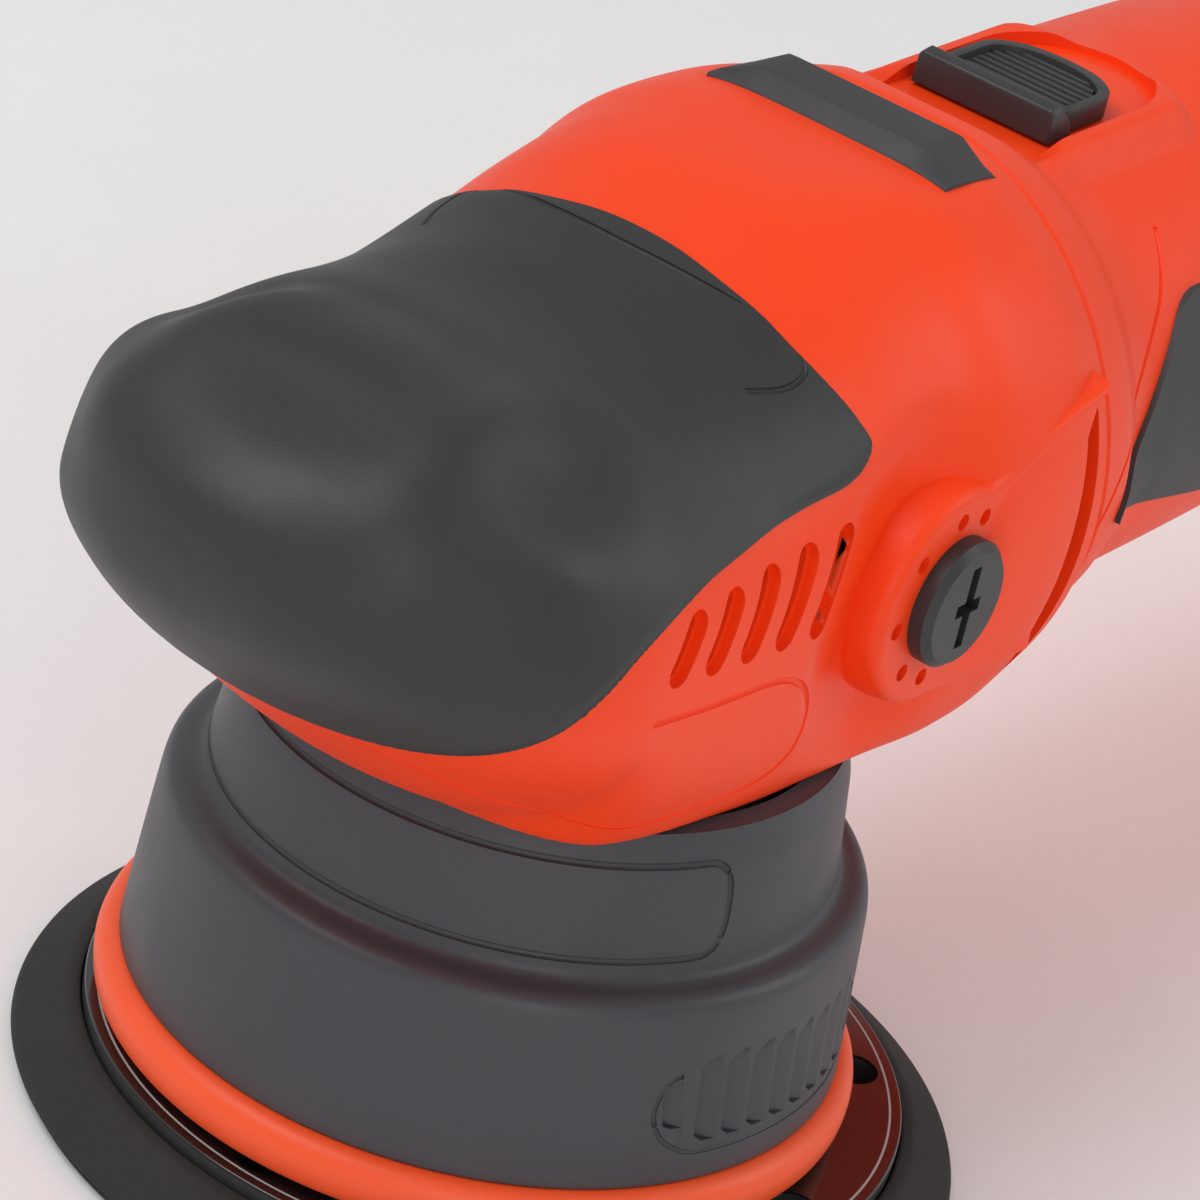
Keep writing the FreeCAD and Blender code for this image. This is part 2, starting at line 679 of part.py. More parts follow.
def stator_core():
    """Laminated yoke with a pole on each side."""
    yoke = ring_x(26.5, STATOR_R, 80, 126)
    poles = [sector_x(20.4, 27.0, -42, 42, 80, 126), sector_x(20.4, 27.0, 138, 222, 80, 126)]
    return fused([yoke] + poles)


def field_coil(start):
    sides = [sector_x(21.0, 26.3, start + 46, start + 84, 76, 130),
             sector_x(21.0, 26.3, start - 84, start - 46, 76, 130)]
    ends = [sector_x(21.0, 26.3, start - 84, start + 84, 72, 76),
            sector_x(21.0, 26.3, start - 84, start + 84, 130, 134)]
    return fused(sides + ends)


def field_coils():
    return Part.makeCompound([field_coil(0), field_coil(180)])


def fan_baffle():
    return turned_x([(14.0, 66.0), (30.4, 66.0), (30.4, 70.0), (28.4, 70.0), (28.4, 68.0), (14.0, 68.0)])


BRUSH_X = 149.0


def brush_holders():
    tube = box(BRUSH_X - 5, BRUSH_X + 5, 13.0, 30.5, MOTOR_Z - 4, MOTOR_Z + 4)
    tube = tube.cut(box(BRUSH_X - 4, BRUSH_X + 4, 12.0, 31.0, MOTOR_Z - 3, MOTOR_Z + 3))
    return both_sides(tube)


def brushes():
    return both_sides(box(BRUSH_X - 3.95, BRUSH_X + 3.95, COMMUTATOR_R + 0.1, 22.0,
                          MOTOR_Z - 2.95, MOTOR_Z + 2.95))


def brush_springs():
    """Flat spiral springs of three turns, rolled up in the holders behind the brushes."""
    turns, pitch, strip = 3, 0.55, 0.25
    edges = []
    for start_r in (1.0, 1.0 + strip):
        points = []
        for step in range(turns * 12 + 1):
            angle = 2 * math.pi * step / 12
            radius = start_r + pitch * step / 12
            points.append(V(BRUSH_X - 2.5, 25.1 + radius * math.cos(angle),
                            MOTOR_Z + radius * math.sin(angle)))
        edges.append(points)
    curves = [Part.BSplineCurve(), Part.BSplineCurve()]
    for curve, points in zip(curves, edges):
        curve.interpolate(points)
    ends = [Part.makeLine(edges[0][k], edges[1][k]) for k in (0, -1)]
    wire = Part.Wire(Part.sortEdges([c.toShape() for c in curves] + ends)[0])
    return both_sides(Part.Face(wire).extrude(V(5.0, 0, 0)))


def brush_caps():
    cap = cyl_y(6.4, 31.0, 36.4, BRUSH_X, MOTOR_Z)
    cap = cap.cut(box(BRUSH_X - 5, BRUSH_X + 5, 35.0, 37, MOTOR_Z - 0.8, MOTOR_Z + 0.8))
    return both_sides(cap)


# --- motor housing and handle -----------------------------------------------------------
def barrel_form(inset=0.0):
    return form(BARREL_STATIONS, inset)


def side_inlay(side):
    y0, y1 = sorted((side * 10.0, side * 60.0))
    zone = side_prism(INLAY_EDGE, y0, y1)
    return barrel_form(-INLAY_PROUD).cut(barrel_form(INLAY_DEEP)).common(zone)


def motor_housing():
    outer = barrel_form().common(box(SPLIT_X, HANDLE_X, -60, 60, 40, 140))
    spigot = ring_x(26.8, 29.2, HANDLE_X - 4, HANDLE_X + 5)
    hollow = [cyl_x(33.5, SPLIT_X - 1, 63), cyl_x(30.4, 62, 158), cyl_x(27.6, 157, HANDLE_X + 1)]
    tube = outer.cut(hollow)
    lugs = [cyl_x(4.6, SPLIT_X, 66, y, MOTOR_Z + z) for y, z in HOUSING_SCREWS]
    web = [ring_x(11.0, 14.0, 160.5, 171.0), ring_x(9.0, 14.0, 169.0, 172.0)]
    for angle in (45, 135, 225, 315):
        arm = box(161.0, 170.0, -3.0, 3.0, MOTOR_Z + 12.5, MOTOR_Z + 29.0)
        arm.rotate(V(0, 0, MOTOR_Z), ALONG, angle)
        web.append(arm)
    keep = barrel_form(0.4)
    tube = fused([tube, spigot] + [lug.common(keep) for lug in lugs] + web)
    for y, z in HOUSING_SCREWS:
        tube = tube.cut(cyl_x(2.5, SPLIT_X - 1, 63, y, MOTOR_Z + z))
    deck = box(66.0, 110.0, -15.0, 15.0, SWITCH_DECK_Z, 140)
    tube = tube.cut(deck).cut(box(76.0, 158.0, -3.0, 3.0, 119.0, 123.8))
    tube = tube.cut(box(76.5, 92.5, -2.6, 2.6, 122.0, 130.0))
    for side in (-1, 1):
        y0, y1 = sorted((side * 28.0, side * 40.0))
        tube = tube.cut(cyl_y(6.5, y0, y1, BRUSH_X, MOTOR_Z)).cut(side_inlay(side))
    return tube


HANDLE_SCREWS = [(190.0, 70.0), (228.0, 69.0), (272.0, 70.0), (240.0, 112.0)]
BOSS_R = 4.2


def handle_half(side):
    """One half of the clam shell handle, side -1 or 1; both meet on y = 0."""
    half_space = box(HANDLE_X, CAP_X, -60, 0, 40, 140)
    core = barrel_form(1.2).common(half_space)
    shell = barrel_form().common(half_space).cut(barrel_form(BARREL_WALL))
    bosses = [cyl_y(BOSS_R, -60, 0, x, z).common(core) for x, z in HANDLE_SCREWS]
    shell = fused([shell] + bosses)
    shell = shell.cut(box(DIAL_X - 13.5, DIAL_X + 13.5, -5.0, 5.0, DIAL_Z, 130))
    if side > 0:
        shell = shell.mirror(V(0, 0, 0), ACROSS)
    for x, z in HANDLE_SCREWS:
        shell = shell.cut(cyl_y(1.5, -12.0, 13.0, x, z))
        if side < 0:
            shell = shell.cut(cyl_y(3.2, -40.0, -12.0, x, z))
    return shell


def handle_screws():
    head = cyl_y(3.0, -14.4, -12.0, 0, 0)
    head = head.cut(cyl_y(1.2, -14.6, -13.2, 0, 0))
    screw = head.fuse(cyl_y(1.5, -12.0, 13.0, 0, 0)).removeSplitter()
    return Part.makeCompound([moved(screw, x, 0, z) for x, z in HANDLE_SCREWS])


def end_cap():
    cap = barrel_form().common(box(CAP_X, TAIL_X + 1, -60, 60, 40, 140))
    cap = fused([cap, cyl_x(26.0, CAP_X - 4, CAP_X + 1)])
    return cap.cut(cyl_x(INLET_R, CAP_X - 6, TAIL_X + 2)).cut(cyl_x(20.0, CAP_X - 6, CAP_X + 4))


# --- switch -------------------------------------------------------------------------------
def switch_button():
    """Front lip, ribbed thumb rest behind it, and a stem through the deck."""
    deck = SWITCH_DECK_Z + 0.3
    lip = box(SWITCH_X0, SWITCH_X0 + 4.0, -10.8, 10.8, deck, 130.8)
    lip = lip.makeChamfer(0.8, [e for e in lip.Edges if abs(e.BoundBox.ZMin - 130.8) < 0.01])
    body = box(SWITCH_X0 + 3.5, SWITCH_X1, -10.0, 10.0, deck, 128.4)
    ends = [e for e in body.Edges if e.BoundBox.XMin > SWITCH_X1 - 0.1 and e.BoundBox.ZLength > 2]
    body = body.makeFillet(4.0, ends)
    ribs = [box(79.0 + 2.6 * k, 80.2 + 2.6 * k, -8.5, 8.5, 128.0, 129.0) for k in range(4)]
    stem = box(84.5, 90.5, -2.2, 2.2, LINK_Z, 127.0)
    return fused([lip, body, stem] + ribs)


def switch_link():
    """Flat rod from the button's stem to the microswitch, stepped down over the brush gear."""
    upper = box(90.5, 156.0, -2.0, 2.0, LINK_Z, LINK_Z + 1.5)
    drop = box(154.4, 156.0, -2.0, 2.0, 108.4, LINK_Z + 1.5)
    lower = box(154.4, 199.6, -2.0, 2.0, 108.4, 110.0)
    return fused([upper, drop, lower])


def microswitch():
    body = box(200.0, 226.0, -6.5, 6.5, 98.0, 116.0)
    lengthwise = [e for e in body.Edges if e.BoundBox.XLength > 25]
    body = body.makeFillet(1.0, lengthwise)
    tabs = [box(226.0, 231.0, y - 0.4, y + 0.4, 101.0 + 5 * k, 104.0 + 5 * k)
            for k in range(2) for y in (-3.0, 3.0)]
    return fused([body] + tabs)


def speed_control():
    """Circuit board with its heat sink, chip, capacitor and the dial's potentiometer."""
    board = box(238.0, 284.0, -15.0, 15.0, 92.0, 93.6)
    sink = box(240.0, 252.0, 6.0, 14.0, 93.6, 102.0)
    chip = box(240.0, 250.0, -12.0, -4.0, 93.6, 95.6)
    capacitor = cyl(4.5, 93.6, 104.0, 258.0, -9.5)
    pot = cyl_y(7.5, 6.0, 11.0, DIAL_X, DIAL_Z).common(box(240, 290, 0, 20, 100, 117.4))
    bracket = box(DIAL_X - 3, DIAL_X + 3, 6.5, 10.5, 93.6, DIAL_Z - 5)
    return fused([board, sink, chip, capacitor, pot, bracket])


def speed_dial():
    wheel = cyl_y(DIAL_R, -4.0, 4.0, DIAL_X, DIAL_Z)
    for k in range(24):
        angle = 2 * math.pi * k / 24
        notch = cyl_y(0.9, -5, 5, DIAL_X + (DIAL_R + 0.2) * math.cos(angle),
                      DIAL_Z + (DIAL_R + 0.2) * math.sin(angle))
        wheel = wheel.cut(notch)
    return wheel.fuse(cyl_y(2.0, 4.0, 5.9, DIAL_X, DIAL_Z)).removeSplitter()


NODES = {
    "head_housing": head_housing,
    "head_grip": head_grip,
    "top_rest_pad": top_rest_pad,
    "gear_case": gear_case,
    "bearing_plate": bearing_plate,
    "gearcase_screws": gearcase_screws,
    "housing_screws": housing_screws,
    "side_plugs": side_plugs,
    "shroud": shroud,
    "shroud_screws": shroud_screws,
    "bumper_ring": bumper_ring,
    "spindle": spindle,
    "spindle_circlip": spindle_circlip,
    "ring_gear": ring_gear,
    "gear_key": gear_key,
    "counterweight": counterweight,
    "counterweight_screws": counterweight_screws,
    "orbit_bearing_lower": orbit_bearing_lower,
    "orbit_bearing_upper": orbit_bearing_upper,
    "orbit_bearing_clip": orbit_bearing_clip,
    "orbit_spindle": orbit_spindle,
    "orbit_spacer": orbit_spacer,
    "orbit_circlip": orbit_circlip,
    "plate_hook": plate_hook,
    "plate_foam": plate_foam,
    "plate_core": plate_core,
    "plate_label": plate_label,
    "plate_stud": plate_stud,
    "lower_bearing": lower_bearing,
    "upper_bearing": upper_bearing,
    "shaft_seal": shaft_seal,
    "pinion": pinion,
    "armature_shaft": armature_shaft,
    "fan": fan,
    "armature_core": armature_core,
    "armature_windings": armature_windings,
    "commutator": commutator,
    "front_motor_bearing": front_motor_bearing,
    "rear_motor_bearing": rear_motor_bearing,
    "stator_core": stator_core,
    "field_coils": field_coils,
    "fan_baffle": fan_baffle,
    "brush_holders": brush_holders,
    "brushes": brushes,
    "brush_springs": brush_springs,
    "brush_caps": brush_caps,
    "motor_housing": motor_housing,
    "side_inlay_left": lambda: side_inlay(-1),
    "side_inlay_right": lambda: side_inlay(1),
    "handle_left": lambda: handle_half(-1),
    "handle_right": lambda: handle_half(1),
    "handle_screws": handle_screws,
    "end_cap": end_cap,
    "switch_button": switch_button,
    "switch_link": switch_link,
    "microswitch": microswitch,
    "speed_control": speed_control,
    "speed_dial": speed_dial,
}


def main():
    os.makedirs("parts", exist_ok=True)
    for name, make in NODES.items():
        shape = make()
        shape.exportStep(f"parts/{name}.step")
        print(f"{name:24s} solids {len(shape.Solids)} volume {shape.Volume:10.1f} valid {shape.isValid()}")


main()
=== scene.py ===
"""Dual action polisher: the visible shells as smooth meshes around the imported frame."""
import json
import math

import bpy
import bmesh
import numpy as np
from mathutils import Matrix, Vector


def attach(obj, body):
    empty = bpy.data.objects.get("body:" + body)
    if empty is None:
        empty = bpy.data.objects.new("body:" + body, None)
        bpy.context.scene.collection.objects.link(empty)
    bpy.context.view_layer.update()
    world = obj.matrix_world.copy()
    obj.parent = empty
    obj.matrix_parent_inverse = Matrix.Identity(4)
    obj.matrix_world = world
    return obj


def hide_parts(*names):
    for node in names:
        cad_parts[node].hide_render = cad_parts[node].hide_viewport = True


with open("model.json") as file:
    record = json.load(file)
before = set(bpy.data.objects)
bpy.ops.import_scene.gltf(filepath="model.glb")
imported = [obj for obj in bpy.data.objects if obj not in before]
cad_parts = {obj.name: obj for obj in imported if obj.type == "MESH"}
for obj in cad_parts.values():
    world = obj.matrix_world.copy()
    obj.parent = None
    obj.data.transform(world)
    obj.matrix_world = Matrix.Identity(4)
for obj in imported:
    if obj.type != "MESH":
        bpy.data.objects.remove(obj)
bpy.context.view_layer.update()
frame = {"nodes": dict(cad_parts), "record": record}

MM = 0.001

# --- driving dimensions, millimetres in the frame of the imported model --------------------
MOTOR_Z = 91.0
SPLIT_X = 50.0
HANDLE_X = 176.0
CAP_X = 288.0
TAIL_X = 300.0
HEAD_FLOOR_Z = 64.5
SEAM = 0.25               # half of the gap between two shells
GRIP_PROUD = 0.6
GRIP_WALL = 2.0
COVER_WALL = 4.2
HANDLE_WALL = 2.6
TOP_FLAT_Z = 132.3        # the crown behind the nose is planed flat under the rest pad
FLOOR_ROUND = 2.2         # softness of the head's lower edge
CROWN_ROUND = 2.4         # softness of the edge round the flat crown
BOSS_X, BOSS_Z, BOSS_R, BOSS_Y = 18.0, 90.0, 14.8, 41.6
BOSS_ROLL = 1.8           # rolled edge of the raised pad round a plug
BOSS_SINK = 3.2
INDEX_CIRCLE, INDEX_R, INDEX_DEPTH = 10.9, 1.15, 1.6
INDEX_ANGLES = (68, 96, 140, 188, 232, 262)
VENT_COUNT, VENT_X, VENT_PITCH = 5, -37.9, 7.3
VENT_R, VENT_POCKET_R, VENT_POCKET_DEPTH = 1.3, 2.0, 1.3
LINE_R = 0.5              # half width of the engraved lines on head and shroud
BRUSH_X, BRUSH_CAP_R = 149.0, 6.7
INLET_R = 5.5
SWITCH_DECK_Z = 125.5
ORBIT_RADIUS, ORBIT_ANGLE = 4.0, math.radians(-34)
ECC = (ORBIT_RADIUS * math.cos(ORBIT_ANGLE), ORBIT_RADIUS * math.sin(ORBIT_ANGLE))
PLATE_HOLES, PLATE_HOLE_CIRCLE, PLATE_HOLE_R = 8, 48.0, 3.6
FLOOR_REACH, FLOOR_Z = 6000.0, -0.2

# x, half width, top, depth below the widest line, height of the widest line, power
HEAD_STATIONS = [
    (-82.4, 0.0, 106.5, 0.0, 106.5, 2.0),
    (-78.5, 16.0, 115.5, 7.5, 104.2, 2.1),
    (-74.0, 23.0, 119.3, 11.5, 102.5, 2.25),
    (-68.0, 29.0, 122.3, 14.5, 100.0, 2.35),
    (-60.0, 34.0, 124.2, 18.5, 96.5, 2.45),
    (-50.0, 37.8, 123.9, 23.0, 93.0, 2.6),
    (-41.0, 39.3, 122.8, 26.5, 91.0, 2.6),
    (-30.0, 39.5, 122.3, 41.0, 91.0, 2.45),
    (-15.0, 39.6, 124.0, 50.0, 91.0, 2.2),
    (0.0, 40.0, 128.3, 56.0, 91.0, 2.2),
    (10.0, 40.6, 131.8, 56.0, 91.0, 2.2),
    (20.0, 41.5, 133.8, 55.0, 91.0, 2.2),
    (30.0, 43.0, 134.8, 52.0, 91.0, 2.3),
    (40.0, 43.5, 134.6, 48.0, 91.0, 2.25),
    (50.0, 43.0, 134.0, 43.0, 91.0, 2.0),
]
BARREL_STATIONS = [
    (50.0, 43.0, 134.0, 33.0, 91.0, 2.0),
    (58.0, 41.5, 132.0, 33.5, 91.0, 2.0),
    (66.0, 37.8, 128.4, 34.2, 91.0, 2.0),
    (75.0, 36.4, 126.8, 34.5, 91.0, 2.0),
    (100.0, 36.0, 126.5, 34.5, 91.0, 2.0),
    (140.0, 35.0, 125.5, 34.0, 91.0, 2.0),
    (176.0, 33.5, 123.5, 33.0, 91.0, 2.0),
    (225.0, 31.5, 121.5, 31.0, 91.0, 2.0),
    (270.0, 32.5, 122.5, 31.5, 91.0, 2.0),
    (288.0, 32.0, 122.0, 31.0, 91.0, 2.0),
    (300.0, 27.0, 117.5, 26.5, 91.0, 2.0),
]
GRIP_EDGE = [
    (-4.0, 126.0), (-2.5, 121.0), (0.8, 115.5), (1.8, 112.2), (-2.8, 109.4),
    (-12.4, 108.2), (-23.0, 106.9), (-34.6, 105.2), (-44.5, 101.6), (-51.4, 97.0),
    (-60.0, 89.8), (-67.0, 84.6),
]
INLAY_EDGE = [(56.0, 89.0), (71.0, 100.0), (82.0, 111.0), (132.0, 109.0), (138.0, 103.0),
              (138.0, 83.0), (132.0, 77.0), (95.0, 80.0)]


# --- numbers ------------------------------------------------------------------------------
def smooth_max(a, b, k):
    h = np.clip(0.5 + 0.5 * (a - b) / k, 0, 1)
    return b * (1 - h) + a * h + k * h * (1 - h)


def smooth_min(a, b, k):
    return -smooth_max(-a, -b, k)


def smooth_step(lo, hi, v):
    t = np.clip((v - lo) / (hi - lo), 0, 1)
    return t * t * (3 - 2 * t)


def slopes(x, y):
    """Monotone slopes at the stations, so that no bulge appears between them."""
    h, d = np.diff(x), np.diff(y) / np.diff(x)
    m = np.empty(len(x))
    m[0], m[-1] = d[0], d[-1]
    for i in range(1, len(x) - 1):
        if d[i - 1] * d[i] <= 0:
            m[i] = 0
        else:
            w1, w2 = 2 * h[i] + h[i - 1], h[i] + 2 * h[i - 1]
            m[i] = (w1 + w2) / (w1 / d[i - 1] + w2 / d[i])
    return m


def along(x, y, at):
    """Smooth curve through the stations."""
    x, y, at = np.asarray(x, float), np.asarray(y, float), np.asarray(at, float)
    m = slopes(x, y)
    i = np.clip(np.searchsorted(x, at) - 1, 0, len(x) - 2)
    h = x[i + 1] - x[i]
    t = np.clip((at - x[i]) / h, 0, 1)
    return ((2 * t**3 - 3 * t**2 + 1) * y[i] + (t**3 - 2 * t**2 + t) * h * m[i]
            + (3 * t**2 - 2 * t**3) * y[i + 1] + (t**3 - t**2) * h * m[i + 1])


class Form:
    """Outer form along X. Squared radii are interpolated, so a nose that ends at zero is round."""

    def __init__(self, stations):
        s = np.array(stations)
        self.x = s[:, 0]
        self.height = s[:, 4]
        self.power = s[:, 5]
        self.sides = [s[:, 1] ** 2, (s[:, 2] - s[:, 4]) ** 2, s[:, 3] ** 2]

    def radii(self, x, grow=0.0):
        half, rise, drop = (np.sqrt(np.maximum(along(self.x, v, x), 0)) + grow for v in self.sides)
        return half, rise, drop, along(self.x, self.height, x), along(self.x, self.power, x)

    def grid(self, xs, count, grow=0.0):
        half, rise, drop, height, power = (v[:, None] for v in self.radii(xs, grow))
        t = np.linspace(0, 2 * np.pi, count, endpoint=False)[None, :]
        c, s = np.cos(t), np.sin(t)
        n = np.where(s >= 0, power, 2.0)
        reach = np.where(s >= 0, rise, drop)
        y = half * np.sign(c) * np.abs(c) ** (2 / n)
        z = height + reach * np.sign(s) * np.abs(s) ** (2 / n)
        x = np.broadcast_to(np.asarray(xs)[:, None], y.shape)
        return np.stack([x, y, z], 2)

    def side_y(self, x, z, grow=0.0):
        """Half width of the form at (x, z)."""
        half, rise, drop, height, power = self.radii(x, grow)
        up = z >= height
        n = np.where(up, power, 2.0)
        share = np.abs(z - height) / np.where(up, rise, drop)
        return half * np.maximum(1 - share**n, 0) ** (1 / n)

    def top_z(self, x, y, grow=0.0):
        half, rise, _, height, n = self.radii(x, grow)
        return height + rise * np.maximum(1 - np.abs(y / half) ** n, 0) ** (1 / n)


HEAD = Form(HEAD_STATIONS)
BARREL = Form(BARREL_STATIONS)


# --- mesh helpers ----------------------------------------------------------------------------
def add_object(name, verts, faces):
    """Object from points in millimetres."""
    mesh = bpy.data.meshes.new(name)
    mesh.from_pydata((np.asarray(verts) * MM).tolist(), [], faces)
    mesh.validate()
    mesh.update()
    obj = bpy.data.objects.new(name, mesh)
    bpy.context.scene.collection.objects.link(obj)
    return obj


def recalc_normals(obj):
    bm = bmesh.new()
    bm.from_mesh(obj.data)
    bmesh.ops.recalc_face_normals(bm, faces=bm.faces)
    bm.to_mesh(obj.data)
    bm.free()
    return obj


def tube_mesh(name, rows):
    """Closed solid from rows of ring points."""
    count, around = rows.shape[:2]
    verts = rows.reshape(-1, 3)
    faces = []
    for i in range(count - 1):
        for j in range(around):
            k = (j + 1) % around
            faces.append((i * around + j, i * around + k, (i + 1) * around + k, (i + 1) * around + j))
    centres = [rows[0].mean(0), rows[-1].mean(0)]
    verts = np.vstack([verts, centres])
    first, last = count * around, count * around + 1
    for j in range(around):
        k = (j + 1) % around
        faces.append((k, j, first))
        faces.append(((count - 1) * around + j, (count - 1) * around + k, last))
    return recalc_normals(add_object(name, verts, faces))


def prism(name, outline, lo, hi, axis="y"):
    """Closed prism from an outline. For y the outline is (x, z), for z it is (x, y)."""
    n = len(outline)
    verts = []
    for level in (lo, hi):
        for a, b in outline:
            verts.append((a, level, b) if axis == "y" else (a, b, level))
    faces = [tuple(range(n))[::-1], tuple(range(n, 2 * n))]
    faces += [(i, (i + 1) % n, n + (i + 1) % n, n + i) for i in range(n)]
    return recalc_normals(add_object(name, verts, faces))


def joined(name, objs):
    """One object from several, which are used up."""
    bm = bmesh.new()
    for o in objs:
        bm.from_mesh(o.data)
        bpy.data.objects.remove(o)
    mesh = bpy.data.meshes.new(name)
    bm.to_mesh(mesh)
    bm.free()
    obj = bpy.data.objects.new(name, mesh)
    bpy.context.scene.collection.objects.link(obj)
    return obj


def apply_modifiers(obj):
    dg = bpy.context.evaluated_depsgraph_get()
    mesh = bpy.data.meshes.new_from_object(obj.evaluated_get(dg))
    old = obj.data
    obj.modifiers.clear()
    obj.data = mesh
    bpy.data.meshes.remove(old)
    return obj


def cut(obj, cutter, operation="DIFFERENCE", self_overlap=False):
    """Boolean with a cutter, which is used up."""
    mod = obj.modifiers.new("cut", "BOOLEAN")
    mod.operation = operation
    mod.solver = "EXACT"
    mod.use_self = self_overlap
    mod.object = cutter
    apply_modifiers(obj)
    bpy.data.objects.remove(cutter)
    return obj


def shade(obj, angle=None):
    """Smooth shading, with edges sharper than the angle kept."""
    mesh = obj.data
    mesh.polygons.foreach_set("use_smooth", np.ones(len(mesh.polygons), bool))
    if angle is not None:
        bm = bmesh.new()
        bm.from_mesh(mesh)
        limit = math.radians(angle)
        for e in bm.edges:
            e.smooth = not (len(e.link_faces) == 2 and e.calc_face_angle(0) > limit)
        bm.to_mesh(mesh)
        bm.free()
    mesh.update()
    return obj


def coords(obj):
    co = np.empty(len(obj.data.vertices) * 3)
    obj.data.vertices.foreach_get("co", co)
    return co.reshape(-1, 3) / MM


def set_coords(obj, co):
    obj.data.vertices.foreach_set("co", (co * MM).ravel())
    obj.data.update()


def normals(obj):
    no = np.empty(len(obj.data.vertices) * 3, np.float32)
    obj.data.vertices.foreach_get("normal", no)
    return no.reshape(-1, 3)


def spline(points, per_span=8, closed=False):
    """Catmull-Rom curve through given points."""
    p = np.asarray(points, float)
    ends = (p[-1:], p[:2]) if closed else (2 * p[:1] - p[1:2], 2 * p[-1:] - p[-2:-1])
    p = np.vstack([ends[0], p, ends[1]])
    out = []
    for i in range(1, len(p) - 2):
        for t in np.arange(per_span) / per_span:
            a, b, c, d = p[i - 1:i + 3]
            out.append(0.5 * (2 * b + (c - a) * t + (2 * a - 5 * b + 4 * c - d) * t**2
                              + (3 * b - a - 3 * c + d) * t**3))
    if not closed:
        out.append(p[-2])
    return np.array(out)


def groove_tool(name, path, radius, closed=False, sides=10):
    """Round bar along a path, to cut a groove with or to stand as a bead."""
    path = np.asarray(path, float)
    n = len(path)
    rows = []
    for i in range(n):
        a = path[i - 1] if i or closed else path[0]
        b = path[(i + 1) % n] if i < n - 1 or closed else path[-1]
        tangent = (b - a) / np.linalg.norm(b - a)
        side = np.cross(tangent, [0.0, 0.0, 1.0] if abs(tangent[2]) < 0.9 else [0.0, 1.0, 0.0])
        side /= np.linalg.norm(side)
        up = np.cross(side, tangent)
        angles = np.arange(sides) * 2 * np.pi / sides
        rows.append(path[i] + radius * (np.cos(angles)[:, None] * side + np.sin(angles)[:, None] * up))
    rows = np.array(rows)
    if not closed:
        return tube_mesh(name, rows)
    verts = rows.reshape(-1, 3)
    faces = []
    for i in range(n):
        for j in range(sides):
            i2, j2 = (i + 1) % n, (j + 1) % sides
            faces.append((i * sides + j, i * sides + j2, i2 * sides + j2, i2 * sides + j))
    return recalc_normals(add_object(name, verts, faces))


def capsule(x0, z0, x1, z1, r, steps=10):
    """Outline of a rounded slot between two centres, in side view."""
    direction = math.atan2(z1 - z0, x1 - x0)
    points = []
    for cx, cz, start in ((x1, z1, direction - math.pi / 2), (x0, z0, direction + math.pi / 2)):
        for k in range(steps + 1):
            a = start + math.pi * k / steps
            points.append((cx + r * math.cos(a), cz + r * math.sin(a)))
    return points


def disc(x, z, r, steps):
    """Outline of a round hole in side view."""
    half = 0.01
    return capsule(x, z - half, x, z + half, r, steps)


def span(side, near, far):
    """Lower and upper y of a cutter that reaches from near to far on one side."""
    return sorted((side * near, side * far))


def lathe(name, outline, centre=(0.0, 0.0), steps=192):
    """Turn a closed outline of (radius, z) points about a vertical axis."""
    angles = np.arange(steps) * 2 * np.pi / steps
    outline = np.asarray(outline, float)
    n = len(outline)
    verts = []
    for a in angles:
        for r, z in outline:
            verts.append((centre[0] + r * math.cos(a), centre[1] + r * math.sin(a), z))
    faces = []
    for i in range(steps):
        i2 = (i + 1) % steps
        for j in range(n):
            j2 = (j + 1) % n
            faces.append((i * n + j, i2 * n + j, i2 * n + j2, i * n + j2))
    return recalc_normals(add_object(name, verts, faces))


def rounded(outline, radius, steps=4, skip=()):
    """Round the corners of a closed outline, each by the radius or half its shorter side."""
    out = []
    n = len(outline)
    for i in range(n):
        p, a, b = (np.array(outline[k], float) for k in (i, i - 1, (i + 1) % n))
        if i in skip:
            out.append(tuple(p))
            continue
        la, lb = np.linalg.norm(a - p), np.linalg.norm(b - p)
        reach = min(radius, 0.45 * la, 0.45 * lb)
        start, end = p + (a - p) / la * reach, p + (b - p) / lb * reach
        for k in range(steps + 1):
            t = k / steps
            out.append(tuple((1 - t) ** 2 * start + 2 * t * (1 - t) * p + t**2 * end))
    return out


def place(obj, body, nodes, material):
    """Put a finished piece on its body, in place of its CAD nodes."""
    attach(obj, body)
    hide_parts(*nodes)
    obj.data.materials.clear()
    obj.data.materials.append(material)
    return obj


